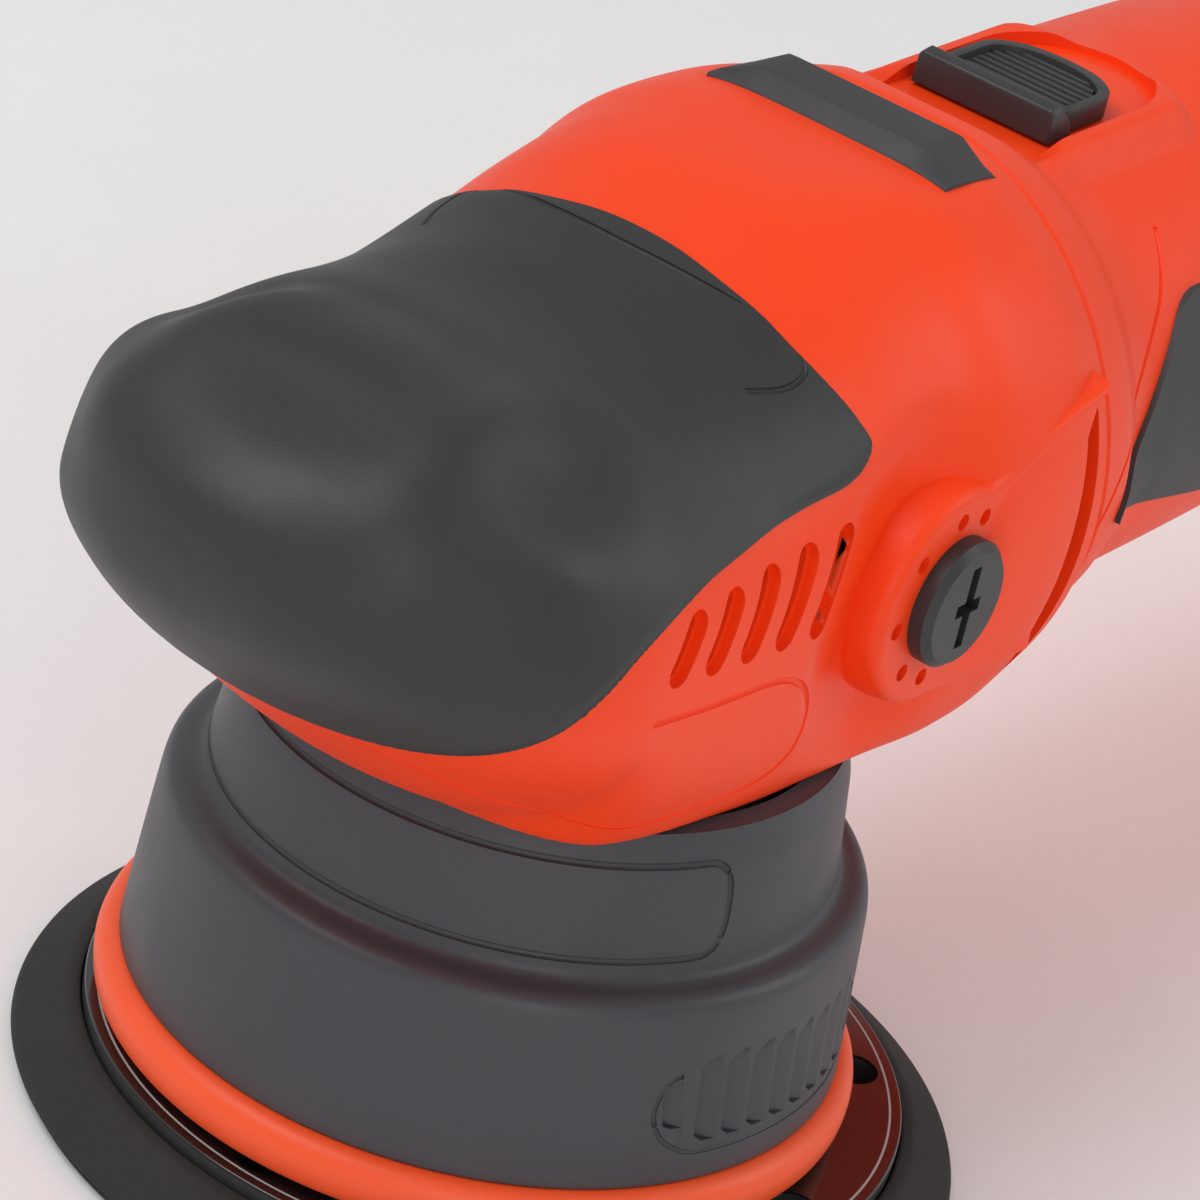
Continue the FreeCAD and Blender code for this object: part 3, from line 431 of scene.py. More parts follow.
# --- materials -------------------------------------------------------------------------------
def material(name, color, roughness, grain=0.25, bump=0.15, bump_mm=0.02, spread=0.06,
             metallic=0.0, coat=0.0, coat_roughness=0.1, specular=0.5):
    """Moulded or machined surface: a fine grain in the bump, slow changes in colour and gloss."""
    mat = bpy.data.materials.new(name)
    mat.use_nodes = True
    tree = mat.node_tree
    nodes, links = tree.nodes, tree.links
    shader = nodes["Principled BSDF"]
    shader.inputs["Metallic"].default_value = metallic
    shader.inputs["Coat Weight"].default_value = coat
    shader.inputs["Coat Roughness"].default_value = coat_roughness
    shader.inputs["Specular IOR Level"].default_value = specular
    where = nodes.new("ShaderNodeTexCoord").outputs["Object"]

    def noise(scale, detail):
        node = nodes.new("ShaderNodeTexNoise")
        node.inputs["Scale"].default_value = scale
        node.inputs["Detail"].default_value = detail
        links.new(where, node.inputs["Vector"])
        return node.outputs["Fac"]

    def ramped(value, lo, hi):
        node = nodes.new("ShaderNodeMapRange")
        node.inputs["From Min"].default_value = 0.3
        node.inputs["From Max"].default_value = 0.7
        node.inputs["To Min"].default_value = lo
        node.inputs["To Max"].default_value = hi
        links.new(value, node.inputs["Value"])
        return node.outputs["Result"]

    cloud, fine = noise(22.0, 3.0), noise(1000.0 / grain, 2.0)
    tinted = nodes.new("ShaderNodeMix")
    tinted.data_type = "RGBA"
    links.new(ramped(cloud, 0.0, 1.0), tinted.inputs["Factor"])
    tinted.inputs["A"].default_value = (*[c * (1 - spread) for c in color], 1)
    tinted.inputs["B"].default_value = (*[min(1, c * (1 + spread)) for c in color], 1)
    speck = nodes.new("ShaderNodeMix")
    speck.data_type = "RGBA"
    speck.blend_type = "MULTIPLY"
    links.new(ramped(fine, 0.0, 1.0), speck.inputs["Factor"])
    links.new(tinted.outputs["Result"], speck.inputs["A"])
    speck.inputs["B"].default_value = (1 - spread, 1 - spread, 1 - spread, 1)
    links.new(speck.outputs["Result"], shader.inputs["Base Color"])
    gloss = ramped(noise(60.0, 4.0), roughness - 0.05, roughness + 0.05)
    links.new(gloss, shader.inputs["Roughness"])
    relief = nodes.new("ShaderNodeBump")
    relief.inputs["Strength"].default_value = bump
    relief.inputs["Distance"].default_value = bump_mm * MM
    links.new(fine, relief.inputs["Height"])
    links.new(relief.outputs["Normal"], shader.inputs["Normal"])
    return mat


RED = material("red_moulding", (0.98, 0.058, 0.006), 0.42, grain=0.35, bump=0.3, spread=0.03,
               specular=0.28)
GRIP = material("grip_rubber", (0.026, 0.025, 0.0255), 0.52, grain=0.45, bump=0.6, bump_mm=0.05,
                spread=0.12)
INLAY = material("inlay_rubber", (0.04, 0.04, 0.043), 0.6, grain=0.4, bump=0.5, bump_mm=0.04)
SHROUD = material("shroud_moulding", (0.052, 0.053, 0.062), 0.46, grain=0.5, bump=0.5,
                  bump_mm=0.04, spread=0.08)
RING = material("ring_rubber", (1.0, 0.1, 0.02), 0.45, grain=0.4, bump=0.2, spread=0.03)
BLACK = material("black_moulding", (0.028, 0.028, 0.03), 0.45, grain=0.4, bump=0.35)
FOAM = material("plate_foam", (0.022, 0.022, 0.022), 0.85, grain=0.5, bump=0.9, bump_mm=0.12,
                spread=0.2)
HOOK = material("hook_face", (0.03, 0.03, 0.03), 0.9, grain=0.6, bump=1.0, bump_mm=0.3, spread=0.3)
LABEL = material("label_gloss", (0.01, 0.009, 0.009), 0.16, bump=0.05, coat=0.6,
                 coat_roughness=0.06)
LINE = material("label_line", (0.45, 0.45, 0.45), 0.4, bump=0.1)
ALLOY = material("cast_alloy", (0.36, 0.365, 0.375), 0.5, grain=0.6, bump=0.5, metallic=1.0)
IRON = material("cast_iron", (0.2, 0.2, 0.21), 0.55, grain=0.8, bump=0.7, bump_mm=0.06, metallic=1.0)
STEEL = material("ground_steel", (0.58, 0.58, 0.6), 0.28, grain=0.2, bump=0.2, metallic=1.0)
BEARING = material("bearing_steel", (0.7, 0.7, 0.72), 0.18, grain=0.2, bump=0.1, metallic=1.0)
DARK_STEEL = material("blackened_steel", (0.12, 0.12, 0.13), 0.4, bump=0.3, metallic=1.0)
LAMINATION = material("lamination", (0.32, 0.32, 0.34), 0.4, grain=0.5, bump=0.5, metallic=1.0)
COPPER = material("enamelled_copper", (0.6, 0.2, 0.07), 0.35, grain=0.6, bump=0.6, metallic=1.0)
CARBON = material("carbon", (0.03, 0.03, 0.033), 0.6, grain=0.4, bump=0.4)
BOARD = material("circuit_board", (0.03, 0.16, 0.06), 0.4, grain=0.8, bump=0.3)

NODE_MATERIALS = {
    "red_plastic": RED, "grip_rubber": GRIP, "inlay_rubber": INLAY, "shroud_plastic": SHROUD,
    "ring_rubber": RING, "black_plastic": BLACK, "plate_foam": FOAM, "hook_face": HOOK,
    "label_gloss": LABEL, "plate_plastic": BLACK, "cast_alloy": ALLOY, "cast_iron": IRON,
    "ground_steel": STEEL, "bearing_steel": BEARING, "spring_steel": DARK_STEEL,
    "screw_steel": DARK_STEEL, "lamination": LAMINATION, "copper": COPPER, "carbon": CARBON,
    "seal_rubber": INLAY, "circuit_green": BOARD,
}


def dress_cad_nodes():
    slots = {s["node"]: s["material_slot"] for s in frame["record"]["subparts"]}
    for name, obj in frame["nodes"].items():
        obj.data.materials.clear()
        obj.data.materials.append(NODE_MATERIALS[slots[name]])


# --- head ---------------------------------------------------------------------------------------
GRIP_LINE = spline(GRIP_EDGE, 10)


def grip_zone(shift=0.0):
    """Prism over the grip's zone, its edge moved forward by the shift."""
    edge = [(x - shift, z) for x, z in GRIP_LINE]
    return prism("zone", edge + [(-95.0, 76.0), (-95.0, 145.0), (-4.0 - shift, 145.0)], -60, 60)


def distance_to_line(line, x, z):
    """Distance from points of a side view to a polyline."""
    best = np.full(x.shape, 1e9)
    for (ax, az), (bx, bz) in zip(line[:-1], line[1:]):
        dx, dz = bx - ax, bz - az
        t = np.clip(((x - ax) * dx + (z - az) * dz) / (dx * dx + dz * dz), 0, 1)
        best = np.minimum(best, np.hypot(x - ax - t * dx, z - az - t * dz))
    return best


def nose_rows(stop, count):
    """Places of the rings along the head, closer together towards the round nose."""
    start = HEAD.x[0]
    return start + (stop - start) * np.linspace(0.0, 1.0, count) ** 1.35


def boss_dip(x, y, z):
    """How far the head's side is sunk beside the front half of each boss."""
    reach = np.hypot(x - BOSS_X, z - BOSS_Z)
    near_boss = smooth_step(28, 15, reach) * smooth_step(26, 10, x)
    return BOSS_SINK * near_boss * smooth_step(20, 34, np.abs(y))


def head_side(x, z):
    y = HEAD.side_y(x, z)
    return y - boss_dip(x, y, z)


def head_surface(rows, inset=0.0):
    """Flat floor with a rounded edge, flat crown, and the dip beside each boss."""
    x, y, z = rows[..., 0], rows[..., 1], rows[..., 2]
    rows[..., 1] = np.sign(y) * (np.abs(y) - boss_dip(x, y, z))
    z = smooth_max(z, HEAD_FLOOR_Z + inset, FLOOR_ROUND)
    rows[..., 2] = smooth_min(z, TOP_FLAT_Z - inset, CROWN_ROUND)
    return rows


def head_solid(name, stop, inset=0.0, count=150, around=288):
    xs = nose_rows(stop, count)
    xs = xs[HEAD.radii(xs)[0] > inset + 1.0] if inset > 0 else xs
    return tube_mesh(name, head_surface(HEAD.grid(xs, around, -inset), inset))


def skin_of(tool, depth):
    """Keep only what a cutter holds outside the head's form inset by the depth."""
    return cut(tool, head_solid("inner", 60.0, depth, 90, 160), self_overlap=True)


def boss_tool(side):
    """Raised pad round a plug: a round front that runs out rearwards, with a rolled edge."""
    arc = [(BOSS_X + BOSS_R * math.cos(a), BOSS_Z + BOSS_R * math.sin(a))
           for a in np.linspace(math.radians(72), math.radians(272), 40)]
    outline = arc + [(30.0, 74.6), (46.0, 74.0), (47.0, 112.0), (38.0, 110.0), (29.5, 106.6)]
    centre = np.array([BOSS_X + 8, BOSS_Z])
    loop = np.array(outline)
    away = loop - centre
    away /= np.linalg.norm(away, axis=1)[:, None]
    rows = []
    for y, inset in [(30.0, -0.6), (38.0, -0.4)] + [
            (BOSS_Y - BOSS_ROLL * (1 - math.sin(t)), BOSS_ROLL * (1 - math.cos(t)))
            for t in np.linspace(0, math.pi / 2, 7)]:
        ring = loop - away * inset
        rows.append([(x, side * y, z) for x, z in ring])
    return tube_mesh("boss", np.array(rows))


def vent_tools(radius):
    """Leaning slots on both sides, each a little taller towards the boss."""
    tools = []
    for i in range(VENT_COUNT):
        x, lean = VENT_X + VENT_PITCH * i, 2.7 + 0.43 * i
        low, high = 95.9 - 0.6 * i, 100.9 + 0.52 * i
        for side in (-1, 1):
            slot = capsule(x, low, x + lean, high, radius)
            tools.append(prism("vent", slot, *span(side, 30.0, 50.0)))
    return joined("vents", tools)


def vent_slot_tools():
    """Tall slot on each side, just ahead of the split."""
    outline = rounded([(44.0, 110.5), (42.6, 80.0), (43.6, 67.4), (47.2, 68.5), (47.2, 111.0)], 0.8)
    return [prism("slot", outline, *span(side, 30.0, 60.0)) for side in (-1, 1)]


def index_holes():
    """Small blind holes round the front half of each plug."""
    tools = []
    for angle in INDEX_ANGLES:
        a = math.radians(angle)
        x, z = BOSS_X + INDEX_CIRCLE * math.cos(a), BOSS_Z + INDEX_CIRCLE * math.sin(a)
        outline = disc(x, z, INDEX_R, 8)
        for side in (-1, 1):
            tools.append(prism("hole", outline, *span(side, BOSS_Y - INDEX_DEPTH, BOSS_Y + 4)))
    return tools


def nose_ring(heights, centre_x, turns):
    """Points on the head at the given heights, found outwards from a centre."""
    reach = np.linspace(1.0, 75.0, 1500)
    points = []
    for turn, z in zip(turns, heights):
        x, y = centre_x + reach * math.cos(turn), reach * math.sin(turn)
        on_form = np.maximum(x, HEAD.x[0] + 0.01)
        inside = (head_side(on_form, np.full(len(x), z)) > np.abs(y)) & (x > HEAD.x[0])
        k = np.nonzero(inside)[0].max()
        points.append((x[k], y[k], z))
    return np.array(points)


def band_line():
    """Engraved line on the lower band: it wraps the front and turns back at each side."""
    hook = spline([(-41.0, 89.9), (-35.0, 89.3), (-29.2, 88.7), (-22.1, 88.2), (-16.6, 87.8),
                   (-12.8, 87.0), (-9.1, 85.2), (-5.7, 82.0), (-4.0, 78.7), (-4.0, 75.0),
                   (-5.4, 71.9), (-8.4, 70.0), (-13.0, 69.2)], 8)
    near = np.column_stack([hook[:, 0], -head_side(hook[:, 0], hook[:, 1]), hook[:, 1]])
    turns = np.linspace(86, 274, 90)
    heights = 69.4 + 16.0 * smooth_step(106, 182, 180 - np.abs(turns - 180))
    front = nose_ring(heights, -20.0, np.radians(-turns))
    return np.vstack([near, front, near[::-1] * (1, -1, 1)])


def make_head():
    """Hollow cover, cut back under the grip, open to the motor housing at the split."""
    head = head_solid("head_cover", SPLIT_X - 0.3)
    for side in (-1, 1):
        cut(head, boss_tool(side), "UNION")
    inner = head_solid("cavity", SPLIT_X + 3.0, COVER_WALL, 80, 128)
    cut(head, inner)
    cut(head, skin_of(grip_zone(0.35), GRIP_WALL))
    cut(head, skin_of(vent_tools(VENT_POCKET_R), VENT_POCKET_DEPTH))
    tools = [vent_tools(VENT_R), groove_tool("line", band_line(), LINE_R)]
    tools += vent_slot_tools() + index_holes()
    cut(head, joined("tools", tools), self_overlap=True)
    shade(head, 34)
    return place(head, "root", ["head_housing"], RED)


def dimple(co, centre, spread, depth):
    """Soft hollow round a point of the grip; a negative depth makes a crown."""
    d = (co - np.array(centre)) / np.array(spread)
    return depth * np.exp(-np.sum(d * d, 1))


def grip_relief(co):
    """Thumb hollow on the nose, a finger hollow on each side, and the crowns between them."""
    hollow = dimple(co, (-67, 0, 123), (9, 12, 9), 2.4)
    for side in (-1, 1):
        hollow += dimple(co, (-50, side * 26, 119), (9, 8, 10), 2.8)
        hollow += dimple(co, (-30, side * 33, 113), (13, 8, 9), 1.0)
        hollow += dimple(co, (-72, side * 20, 113), (9, 8, 9), -1.1)
        hollow += dimple(co, (-57, side * 32, 110), (8, 7, 8), -1.3)
        hollow += dimple(co, (-58, side * 17, 122), (12, 5, 7), -1.2)
    return hollow


def name_plate_line():
    """Engraved line just inside the grip's rear edge, hooked at both ends."""
    plan = [(-13.0, 24.6), (-8.0, 26.6), (-4.6, 26.8), (-3.0, 25.4),
            (-3.6, 21.0), (-6.4, 11.0), (-7.4, 0.0)]
    half = spline(plan + [(x, -y) for x, y in plan[-2::-1]], 8)
    z = HEAD.top_z(half[:, 0], half[:, 1], GRIP_PROUD)
    return np.column_stack([half[:, 0], half[:, 1], z])


def make_grip():
    grip = head_solid("nose_grip", 6.0, 0.0, 170, 320)
    co, no = coords(grip), normals(grip)
    inland = distance_to_line(GRIP_LINE, co[:, 0], co[:, 2])
    edge = smooth_step(0.0, 1.4, inland)
    lip = 0.9 * smooth_step(-38.0, -56.0, co[:, 0]) * smooth_step(108.0, 96.0, co[:, 2])
    proud = GRIP_PROUD * (0.4 + 0.6 * edge)
    set_coords(grip, co + no * (proud + lip - grip_relief(co) * edge)[:, None])
    cut(grip, grip_zone(), "INTERSECT")
    cut(grip, head_solid("inner", 30.0, GRIP_WALL, 90, 160))
    cut(grip, groove_tool("line", name_plate_line(), 0.45))
    shade(grip, 40)
    return place(grip, "root", ["head_grip"], GRIP)


def make_rest_pad():
    """Rubber bar over the crown: sloping long sides and bevelled ends."""
    rows = []
    for y in [-18.6, -18.2] + list(np.linspace(-13.5, 13.5, 19)) + [18.2, 18.6]:
        high = 0.15 + 2.2 * smooth_step(18.9, 12.8, abs(y))
        outline = rounded([(33.8, -1.4), (34.0, 0.1), (36.6, high), (44.4, high),
                           (46.0, 0.1), (46.2, -1.4)], 0.5, 3)
        crown = [min(float(HEAD.top_z(x, y)), TOP_FLAT_Z) for x, _ in outline]
        rows.append([(x, y, top + z) for (x, z), top in zip(outline, crown)])
    pad = tube_mesh("rest_pad", np.array(rows))
    shade(pad, 40)
    return place(pad, "root", ["top_rest_pad"], INLAY)


# --- motor housing and handle --------------------------------------------------------------------
def bore_x(name, radius, x0, x1, z=MOTOR_Z, steps=96):
    turns = np.arange(steps) * 2 * math.pi / steps
    rows = [[(x, radius * math.cos(a), z + radius * math.sin(a)) for a in turns] for x in (x0, x1)]
    return tube_mesh(name, np.array(rows))


def barrel_rows(x0, x1, step, around=256):
    """Rings from one shell end to the other, with a small bevel at both ends."""
    xs = np.concatenate([[x0 + SEAM, x0 + SEAM + 0.8], np.arange(x0 + 2, x1 - 1.4, step),
                         [x1 - SEAM - 0.8, x1 - SEAM]])
    rows = BARREL.grid(xs, around)
    for end in (0, -1):
        rows[end, :, 1:] -= (rows[end, :, 1:] - (0.0, MOTOR_Z)) * 0.02
    return rows


SWITCH_RECESS = [(60.0, -12.4), (96.0, -12.4), (104.0, -8.0), (107.0, 0.0), (104.0, 8.0),
                 (96.0, 12.4), (60.0, 12.4)]


def collar_surface(rows):
    """Flat crown at the split, a ramp down to the switch, and a flat collar round its pocket."""
    x, y, z = rows[..., 0], rows[..., 1], rows[..., 2]
    z = np.where(x < 66, smooth_min(z, TOP_FLAT_Z, CROWN_ROUND), z)
    upper = z > 110
    away = np.hypot(np.maximum(np.abs(y) - 9, 0), np.maximum(0, np.maximum(68 - x, x - 98)))
    collar = smooth_step(8.5, 4.5, away) * upper
    z = z + (smooth_max(z, SWITCH_DECK_Z + 1.8, 1.0) - z) * collar
    ramp = SWITCH_DECK_Z + (TOP_FLAT_Z - SWITCH_DECK_Z) * smooth_step(67.0, 52.0, x)
    inside = smooth_step(16.0, 11.5, np.abs(y)) * smooth_step(74.0, 66.0, x) * upper
    rows[..., 2] = z + (np.minimum(z, ramp) - z) * inside
    return rows


def side_line(points):
    """Smooth line on the barrel's far side through (x, z) points."""
    p = spline(points, 8)
    return np.column_stack([p[:, 0], BARREL.side_y(p[:, 0], p[:, 1]), p[:, 1]])


def make_motor_housing():
    housing = tube_mesh("motor_shell", collar_surface(barrel_rows(SPLIT_X, HANDLE_X, 0.9, 288)))
    bores = ((33.5, SPLIT_X - 1, 63.0), (30.4, 62.0, 158.0), (27.6, 157.0, HANDLE_X + 1))
    for radius, x0, x1 in bores:
        cut(housing, bore_x("bore", radius, x0, x1))
    cut(housing, prism("deck", rounded(SWITCH_RECESS, 5.0, 6), SWITCH_DECK_Z - 0.1, 140.0, "z"))
    seam = side_line([(82.0, 117.6), (76.8, 111.0), (68.0, 104.6), (58.7, 98.8), (50.6, 91.0)])
    brush_hole = disc(BRUSH_X, MOTOR_Z, BRUSH_CAP_R, 24)
    brush = [prism("cap", brush_hole, *span(side, 28.0, 40.0)) for side in (-1, 1)]
    tools = [groove_tool("seam", seam, 0.45), groove_tool("seam", seam * (1, -1, 1), 0.45)] + brush
    cut(housing, joined("tools", tools), self_overlap=True)
    shade(housing, 34)
    return place(housing, "root", ["motor_housing"], RED)


def make_inlay(side, node):
    rows = BARREL.grid(np.arange(54.0, 142.0, 0.8), 320, 0.8)
    inlay = tube_mesh("side_panel_" + ("near" if side < 0 else "far"), rows)
    cut(inlay, prism("zone", rounded(INLAY_EDGE, 4.0, 6), *span(side, 5.0, 60.0)), "INTERSECT")
    cut(inlay, tube_mesh("inner", BARREL.grid(np.arange(50.0, 146.0, 1.6), 160, -1.2)))
    shade(inlay, 32)
    return place(inlay, "root", [node], INLAY)


def make_handle(side, node):
    name = "handle_shell_" + ("near" if side < 0 else "far")
    half = tube_mesh(name, barrel_rows(HANDLE_X, CAP_X, 1.5))
    cut(half, tube_mesh("inner", BARREL.grid(np.arange(170.0, 296.0, 4.0), 128, -HANDLE_WALL)))
    box = [(170, 40), (295, 40), (295, 140), (170, 140)]
    cut(half, prism("half", box, *span(side, 0.12, 60.0)), "INTERSECT")
    dial_slot = [(248.5, -5.0), (275.5, -5.0), (275.5, 5.0), (248.5, 5.0)]
    tools = [prism("dial_slot", rounded(dial_slot, 1.5), 111.0, 130.0, "z")]
    if side < 0:
        for x, z in ((190.0, 70.0), (228.0, 69.0), (272.0, 70.0), (240.0, 112.0)):
            tools.append(prism("screw", disc(x, z, 3.2, 16), -40.0, -14.5))
    cut(half, joined("tools", tools), self_overlap=True)
    shade(half, 32)
    return place(half, "root", [node], RED)


def make_end_cap():
    """Rear cover with a rolled rim and the open cable inlet."""
    roll_x = TAIL_X - 4
    rim = roll_x + 4 * np.sin(np.linspace(0.2, 1, 8) * math.pi / 2)
    xs = np.concatenate([[CAP_X + SEAM, CAP_X + 0.7], np.linspace(CAP_X + 1.5, roll_x, 8), rim])
    rows = BARREL.grid(xs, 256)
    rows[0, :, 1:] -= (rows[0, :, 1:] - (0.0, MOTOR_Z)) * 0.014
    roll = np.clip((xs - roll_x) / 4, 0, 1)
    shrink = 1 - 0.16 * (1 - np.sqrt(1 - roll**2))
    rows[..., 1:] = (rows[..., 1:] - (0.0, MOTOR_Z)) * shrink[:, None, None] + (0.0, MOTOR_Z)
    cap = tube_mesh("end_cover", rows)
    cut(cap, bore_x("bore", INLET_R, CAP_X - 3, TAIL_X + 2, steps=64))
    shade(cap, 40)
    return place(cap, "root", ["end_cap"], BLACK)


# --- switch ----------------------------------------------------------------------------------------
def make_switch():
    """Trapezoid lip in front, hollowed thumb rest with fine ribs behind it."""
    deck = SWITCH_DECK_Z + 0.3
    lip_corners = [(71.9, deck), (72.3, 130.4), (74.4, 130.8), (77.2, 128.2), (78.0, deck)]
    lip_outline = rounded(lip_corners, 0.5, 4)
    rows = [[(x, y, deck + (z - deck) * k) for x, z in lip_outline]
            for y, k in ((-10.9, 0.0), (-10.7, 0.9), (-10.2, 1.0), (10.2, 1.0), (10.7, 0.9), (10.9, 0.0))]
    lip = tube_mesh("lip", np.array(rows))
    plan = rounded([(76.0, -10.0), (88.5, -10.0), (92.3, -6.0), (93.2, 0.0), (92.3, 6.0), (88.5, 10.0),
                    (76.0, 10.0)], 3.5, 8)
    rest = prism("rest", plan, deck, 128.9, "z")
    hollow_plan = rounded([(74.0, -8.6), (87.5, -8.6), (90.6, -5.2), (91.4, 0.0), (90.6, 5.2),
                           (87.5, 8.6), (74.0, 8.6)], 3.0, 8)
    cut(rest, prism("hollow", hollow_plan, 127.9, 131.0, "z"))
    ribs = [groove_tool("rib", [(x, -8.0 + (x > 88), 127.9), (x, 8.0 - (x > 88), 127.9)], 0.45)
            for x in np.arange(78.6, 90.5, 1.7)]
    stem = prism("stem", [(84.5, -2.2), (90.5, -2.2), (90.5, 2.2), (84.5, 2.2)], 122.0, 126.5, "z")
    button = joined("slide_button", [lip, rest, stem] + ribs)
    bevel = button.modifiers.new("edges", "BEVEL")
    bevel.width, bevel.segments, bevel.limit_method = 0.25 * MM, 2, "ANGLE"
    apply_modifiers(button)
    shade(button, 40)
    return place(button, "slide_switch", ["switch_button"], BLACK)


# --- shroud and plate -------------------------------------------------------------------------------
SHROUD_OUTER = [(38.0, 64.4), (39.4, 59.3), (40.8, 47.1), (41.0, 45.9), (41.5, 45.2), (42.4, 44.8),
                (43.8, 44.5), (44.9, 43.9), (45.5, 42.9), (45.8, 41.3), (46.1, 37.0), (46.6, 29.0),
                (47.2, 18.7), (47.0, 18.5)]
SHROUD_INNER = [(44.6, 18.5), (43.6, 34.0), (43.0, 41.0), (38.6, 43.4), (37.8, 47.0), (36.8, 53.0),
                (27.0, 53.0), (27.0, 55.8), (36.4, 55.8), (35.4, 64.4)]


def shroud_r(z):
    points = sorted((z_, r) for r, z_ in SHROUD_OUTER)
    return float(np.interp(z, [p[0] for p in points], [p[1] for p in points]))


def on_shroud(angle, z, grow=0.0):
    r = shroud_r(z) + grow
    return (r * math.cos(math.radians(angle)), r * math.sin(math.radians(angle)), z)


def on_skirt_path(corners, closed):
    """Path on the shroud through (angle, z) corners, filled in every two degrees."""
    dense = []
    count = len(corners) if closed else len(corners) - 1
    for i in range(count):
        (a, z), (b, w) = corners[i], corners[(i + 1) % len(corners)]
        steps = max(1, int(abs(b - a) / 2))
        dense += [on_shroud(a + (b - a) * k / steps, z + (w - z) * k / steps) for k in range(steps)]
    return dense


def panel_loop():
    """Engraved outline round the front of the upper cone, with rounded ends at both sides."""
    reach = 74.0
    corners = [(180 - reach, 47.6), (180 + reach, 47.6), (180 + reach, 60.2), (180 - reach, 60.2)]
    return on_skirt_path(rounded(corners, 6.0, 8), True)


def louvre(angle, low, high, width, side):
    """Sloping pocket: a sharp groove along its front edge that runs out towards the rear."""
    rows = []
    for t in np.linspace(0, 1, 14):
        z = low + (high - low) * t
        lean = -1.3 * t
        top_curl = np.clip((t - 0.84) / 0.16, 0, 1) ** 2
        foot_curl = 0.5 * np.clip((0.08 - t) / 0.08, 0, 1)
        curl = 0.75 * width * (top_curl + foot_curl)
        front, rear = angle + lean + curl, angle + lean + width
        corners = [(front, -0.95), (front, 0.8), (rear, 0.8), (rear, 0.06)]
        rows.append([on_shroud(side * a, z, grow) for a, grow in corners])
    return tube_mesh("louvre", np.array(rows))


def make_shroud():
    """Skirt with the engraved panel in front and ten louvres in a frame on each side."""
    skirt = lathe("skirt", rounded(SHROUD_OUTER, 0.5, 2) + SHROUD_INNER, steps=288)
    tools = [groove_tool("panel", panel_loop(), LINE_R, closed=True)]
    frame_line = [(-116.0, 34.0), (-118.0, 29.0), (-115.8, 25.2), (-110.5, 22.6), (-71.0, 22.6),
                  (-65.6, 25.2), (-63.4, 29.0), (-65.4, 34.0)]
    path = np.array(on_skirt_path(rounded(frame_line, 3.0, 4), False))
    for side in (-1, 1):
        tools.append(groove_tool("frame", path * (1, -side, 1), 0.36))
        tools.append(louvre(-115.6, 26.6, 33.2, 3.6, -side))
        tools += [louvre(-109.4 + 5.3 * k, 24.1, 36.4, 4.2, -side) for k in range(8)]
        tools.append(louvre(-67.0, 26.6, 33.2, 2.6, -side))
    cut(skirt, joined("tools", tools), self_overlap=True)
    shade(skirt, 38)
    return place(skirt, "root", ["shroud"], SHROUD)


def make_ring():
    outline = [(44.2, 24.0), (44.55, 18.4), (47.6, 18.4), (48.7, 17.9), (49.5, 16.9), (49.85, 15.6),
               (49.85, 14.6), (49.7, 13.4), (49.3, 12.3), (48.5, 11.4),
               (47.3, 11.0), (44.6, 11.0), (43.4, 11.8), (42.8, 14.0), (42.6, 24.0)]
    ring = lathe("ring", rounded(outline, 0.6, 3), steps=256)
    shade(ring, 50)
    return place(ring, "root", ["bumper_ring"], RING)


def plate_bores():
    """Cutter for the ring of holes through the plate."""
    r, tools = PLATE_HOLE_R, []
    turns = np.arange(32) * 2 * math.pi / 32
    for k in range(PLATE_HOLES):
        a = math.radians(-45 + 45 * k)
        x, y = ECC[0] + PLATE_HOLE_CIRCLE * math.cos(a), ECC[1] + PLATE_HOLE_CIRCLE * math.sin(a)
        outline = [(x + r * math.cos(t), y + r * math.sin(t)) for t in turns]
        tools.append(prism("bore", outline, -1, 12, "z"))
    return joined("bores", tools)


def make_plate():
    """Foam pad, glossy label disc and the plain line round the disc."""
    foam_outline = [(10.0, 1.2), (61.0, 1.2), (62.5, 1.9), (62.0, 3.4), (56.0, 7.9),
                    (54.2, 8.1), (54.1, 4.5), (10.0, 4.5)]
    foam = lathe("foam_pad", rounded(foam_outline, 0.6, 3), ECC, 256)
    cut(foam, plate_bores())
    shade(foam, 50)
    place(foam, "orbit_output", ["plate_foam"], FOAM)
    label_outline = [(11.0, 9.45), (53.7, 9.45), (54.0, 9.6), (53.8, 9.85), (11.0, 9.85)]
    label = lathe("label_disc", rounded(label_outline, 0.1, 2), ECC, 256)
    cut(label, plate_bores())
    shade(label, 30)
    place(label, "orbit_output", ["plate_label"], LABEL)
    line = lathe("label_ring", [(52.2, 9.8), (52.5, 9.8), (52.5, 9.89), (52.2, 9.89)], ECC, 256)
    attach(line, "orbit_output")
    line.data.materials.append(LINE)


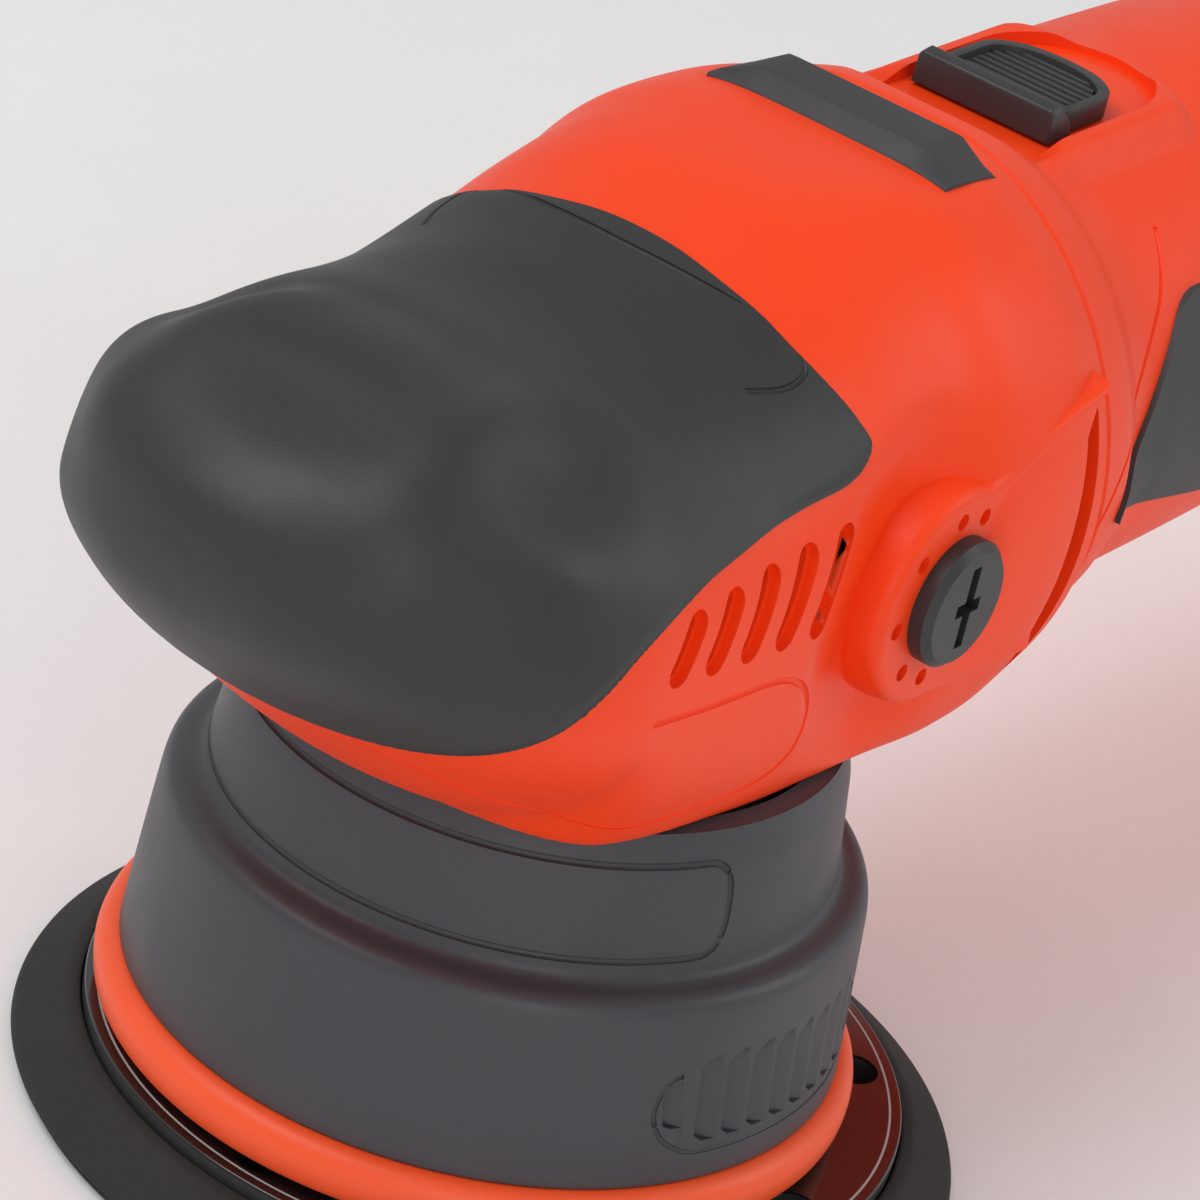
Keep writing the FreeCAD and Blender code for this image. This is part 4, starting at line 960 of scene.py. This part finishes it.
# --- stage ---------------------------------------------------------------------------------------------
def area_light(name, place_at, target, size, power):
    data = bpy.data.lights.new(name, "AREA")
    data.shape = "RECTANGLE"
    data.size, data.size_y = size
    data.energy = power
    obj = bpy.data.objects.new(name, data)
    obj.location = place_at
    obj.rotation_euler = (Vector(target) - Vector(place_at)).to_track_quat("-Z", "Y").to_euler()
    bpy.context.scene.collection.objects.link(obj)


def make_stage():
    floor_mat = material("floor", (0.93, 0.93, 0.93), 0.8, grain=2.0, bump=0.05, spread=0.01)
    corners = [(-1, -1), (1, -1), (1, 1), (-1, 1)]
    verts = [(FLOOR_REACH * x, FLOOR_REACH * y, FLOOR_Z) for x, y in corners]
    floor = add_object("floor", verts, [(0, 1, 2, 3)])
    floor.data.materials.append(floor_mat)
    world = bpy.data.worlds.new("studio")
    world.use_nodes = True
    world.node_tree.nodes["Background"].inputs["Color"].default_value = (1.0, 1.0, 1.0, 1)
    world.node_tree.nodes["Background"].inputs["Strength"].default_value = 0.5
    bpy.context.scene.world = world
    area_light("key", (-0.55, 0.35, 1.1), (0, 0, 0.09), (0.7, 0.7), 6.5)
    area_light("front", (-0.9, -0.9, 0.5), (0, 0, 0.07), (0.6, 0.9), 3.0)
    area_light("side", (0.9, -0.9, 0.7), (0.05, 0, 0.08), (0.5, 0.8), 3.0)


def make_camera():
    data = bpy.data.cameras.new("camera")
    data.lens = 176.4
    data.sensor_width = 36.0
    data.clip_start, data.clip_end = 0.01, 50.0
    camera = bpy.data.objects.new("camera", data)
    right = Vector((0.5863, -0.7834, 0.2066)).normalized()
    back = Vector((-0.7658, -0.4526, 0.4569)).normalized()
    up = back.cross(right).normalized()
    right = up.cross(back)
    rotation = Matrix((right, up, back)).transposed().to_4x4()
    camera.matrix_world = Matrix.Translation((-0.5584, -0.3342, 0.4099)) @ rotation
    bpy.context.scene.collection.objects.link(camera)
    bpy.context.scene.camera = camera
    bpy.context.scene.view_settings.view_transform = "Standard"


make_camera()
make_stage()
dress_cad_nodes()
make_head()
make_grip()
make_rest_pad()
make_motor_housing()
make_inlay(-1, "side_inlay_left")
make_inlay(1, "side_inlay_right")
make_handle(-1, "handle_left")
make_handle(1, "handle_right")
make_end_cap()
make_switch()
make_shroud()
make_ring()
make_plate()
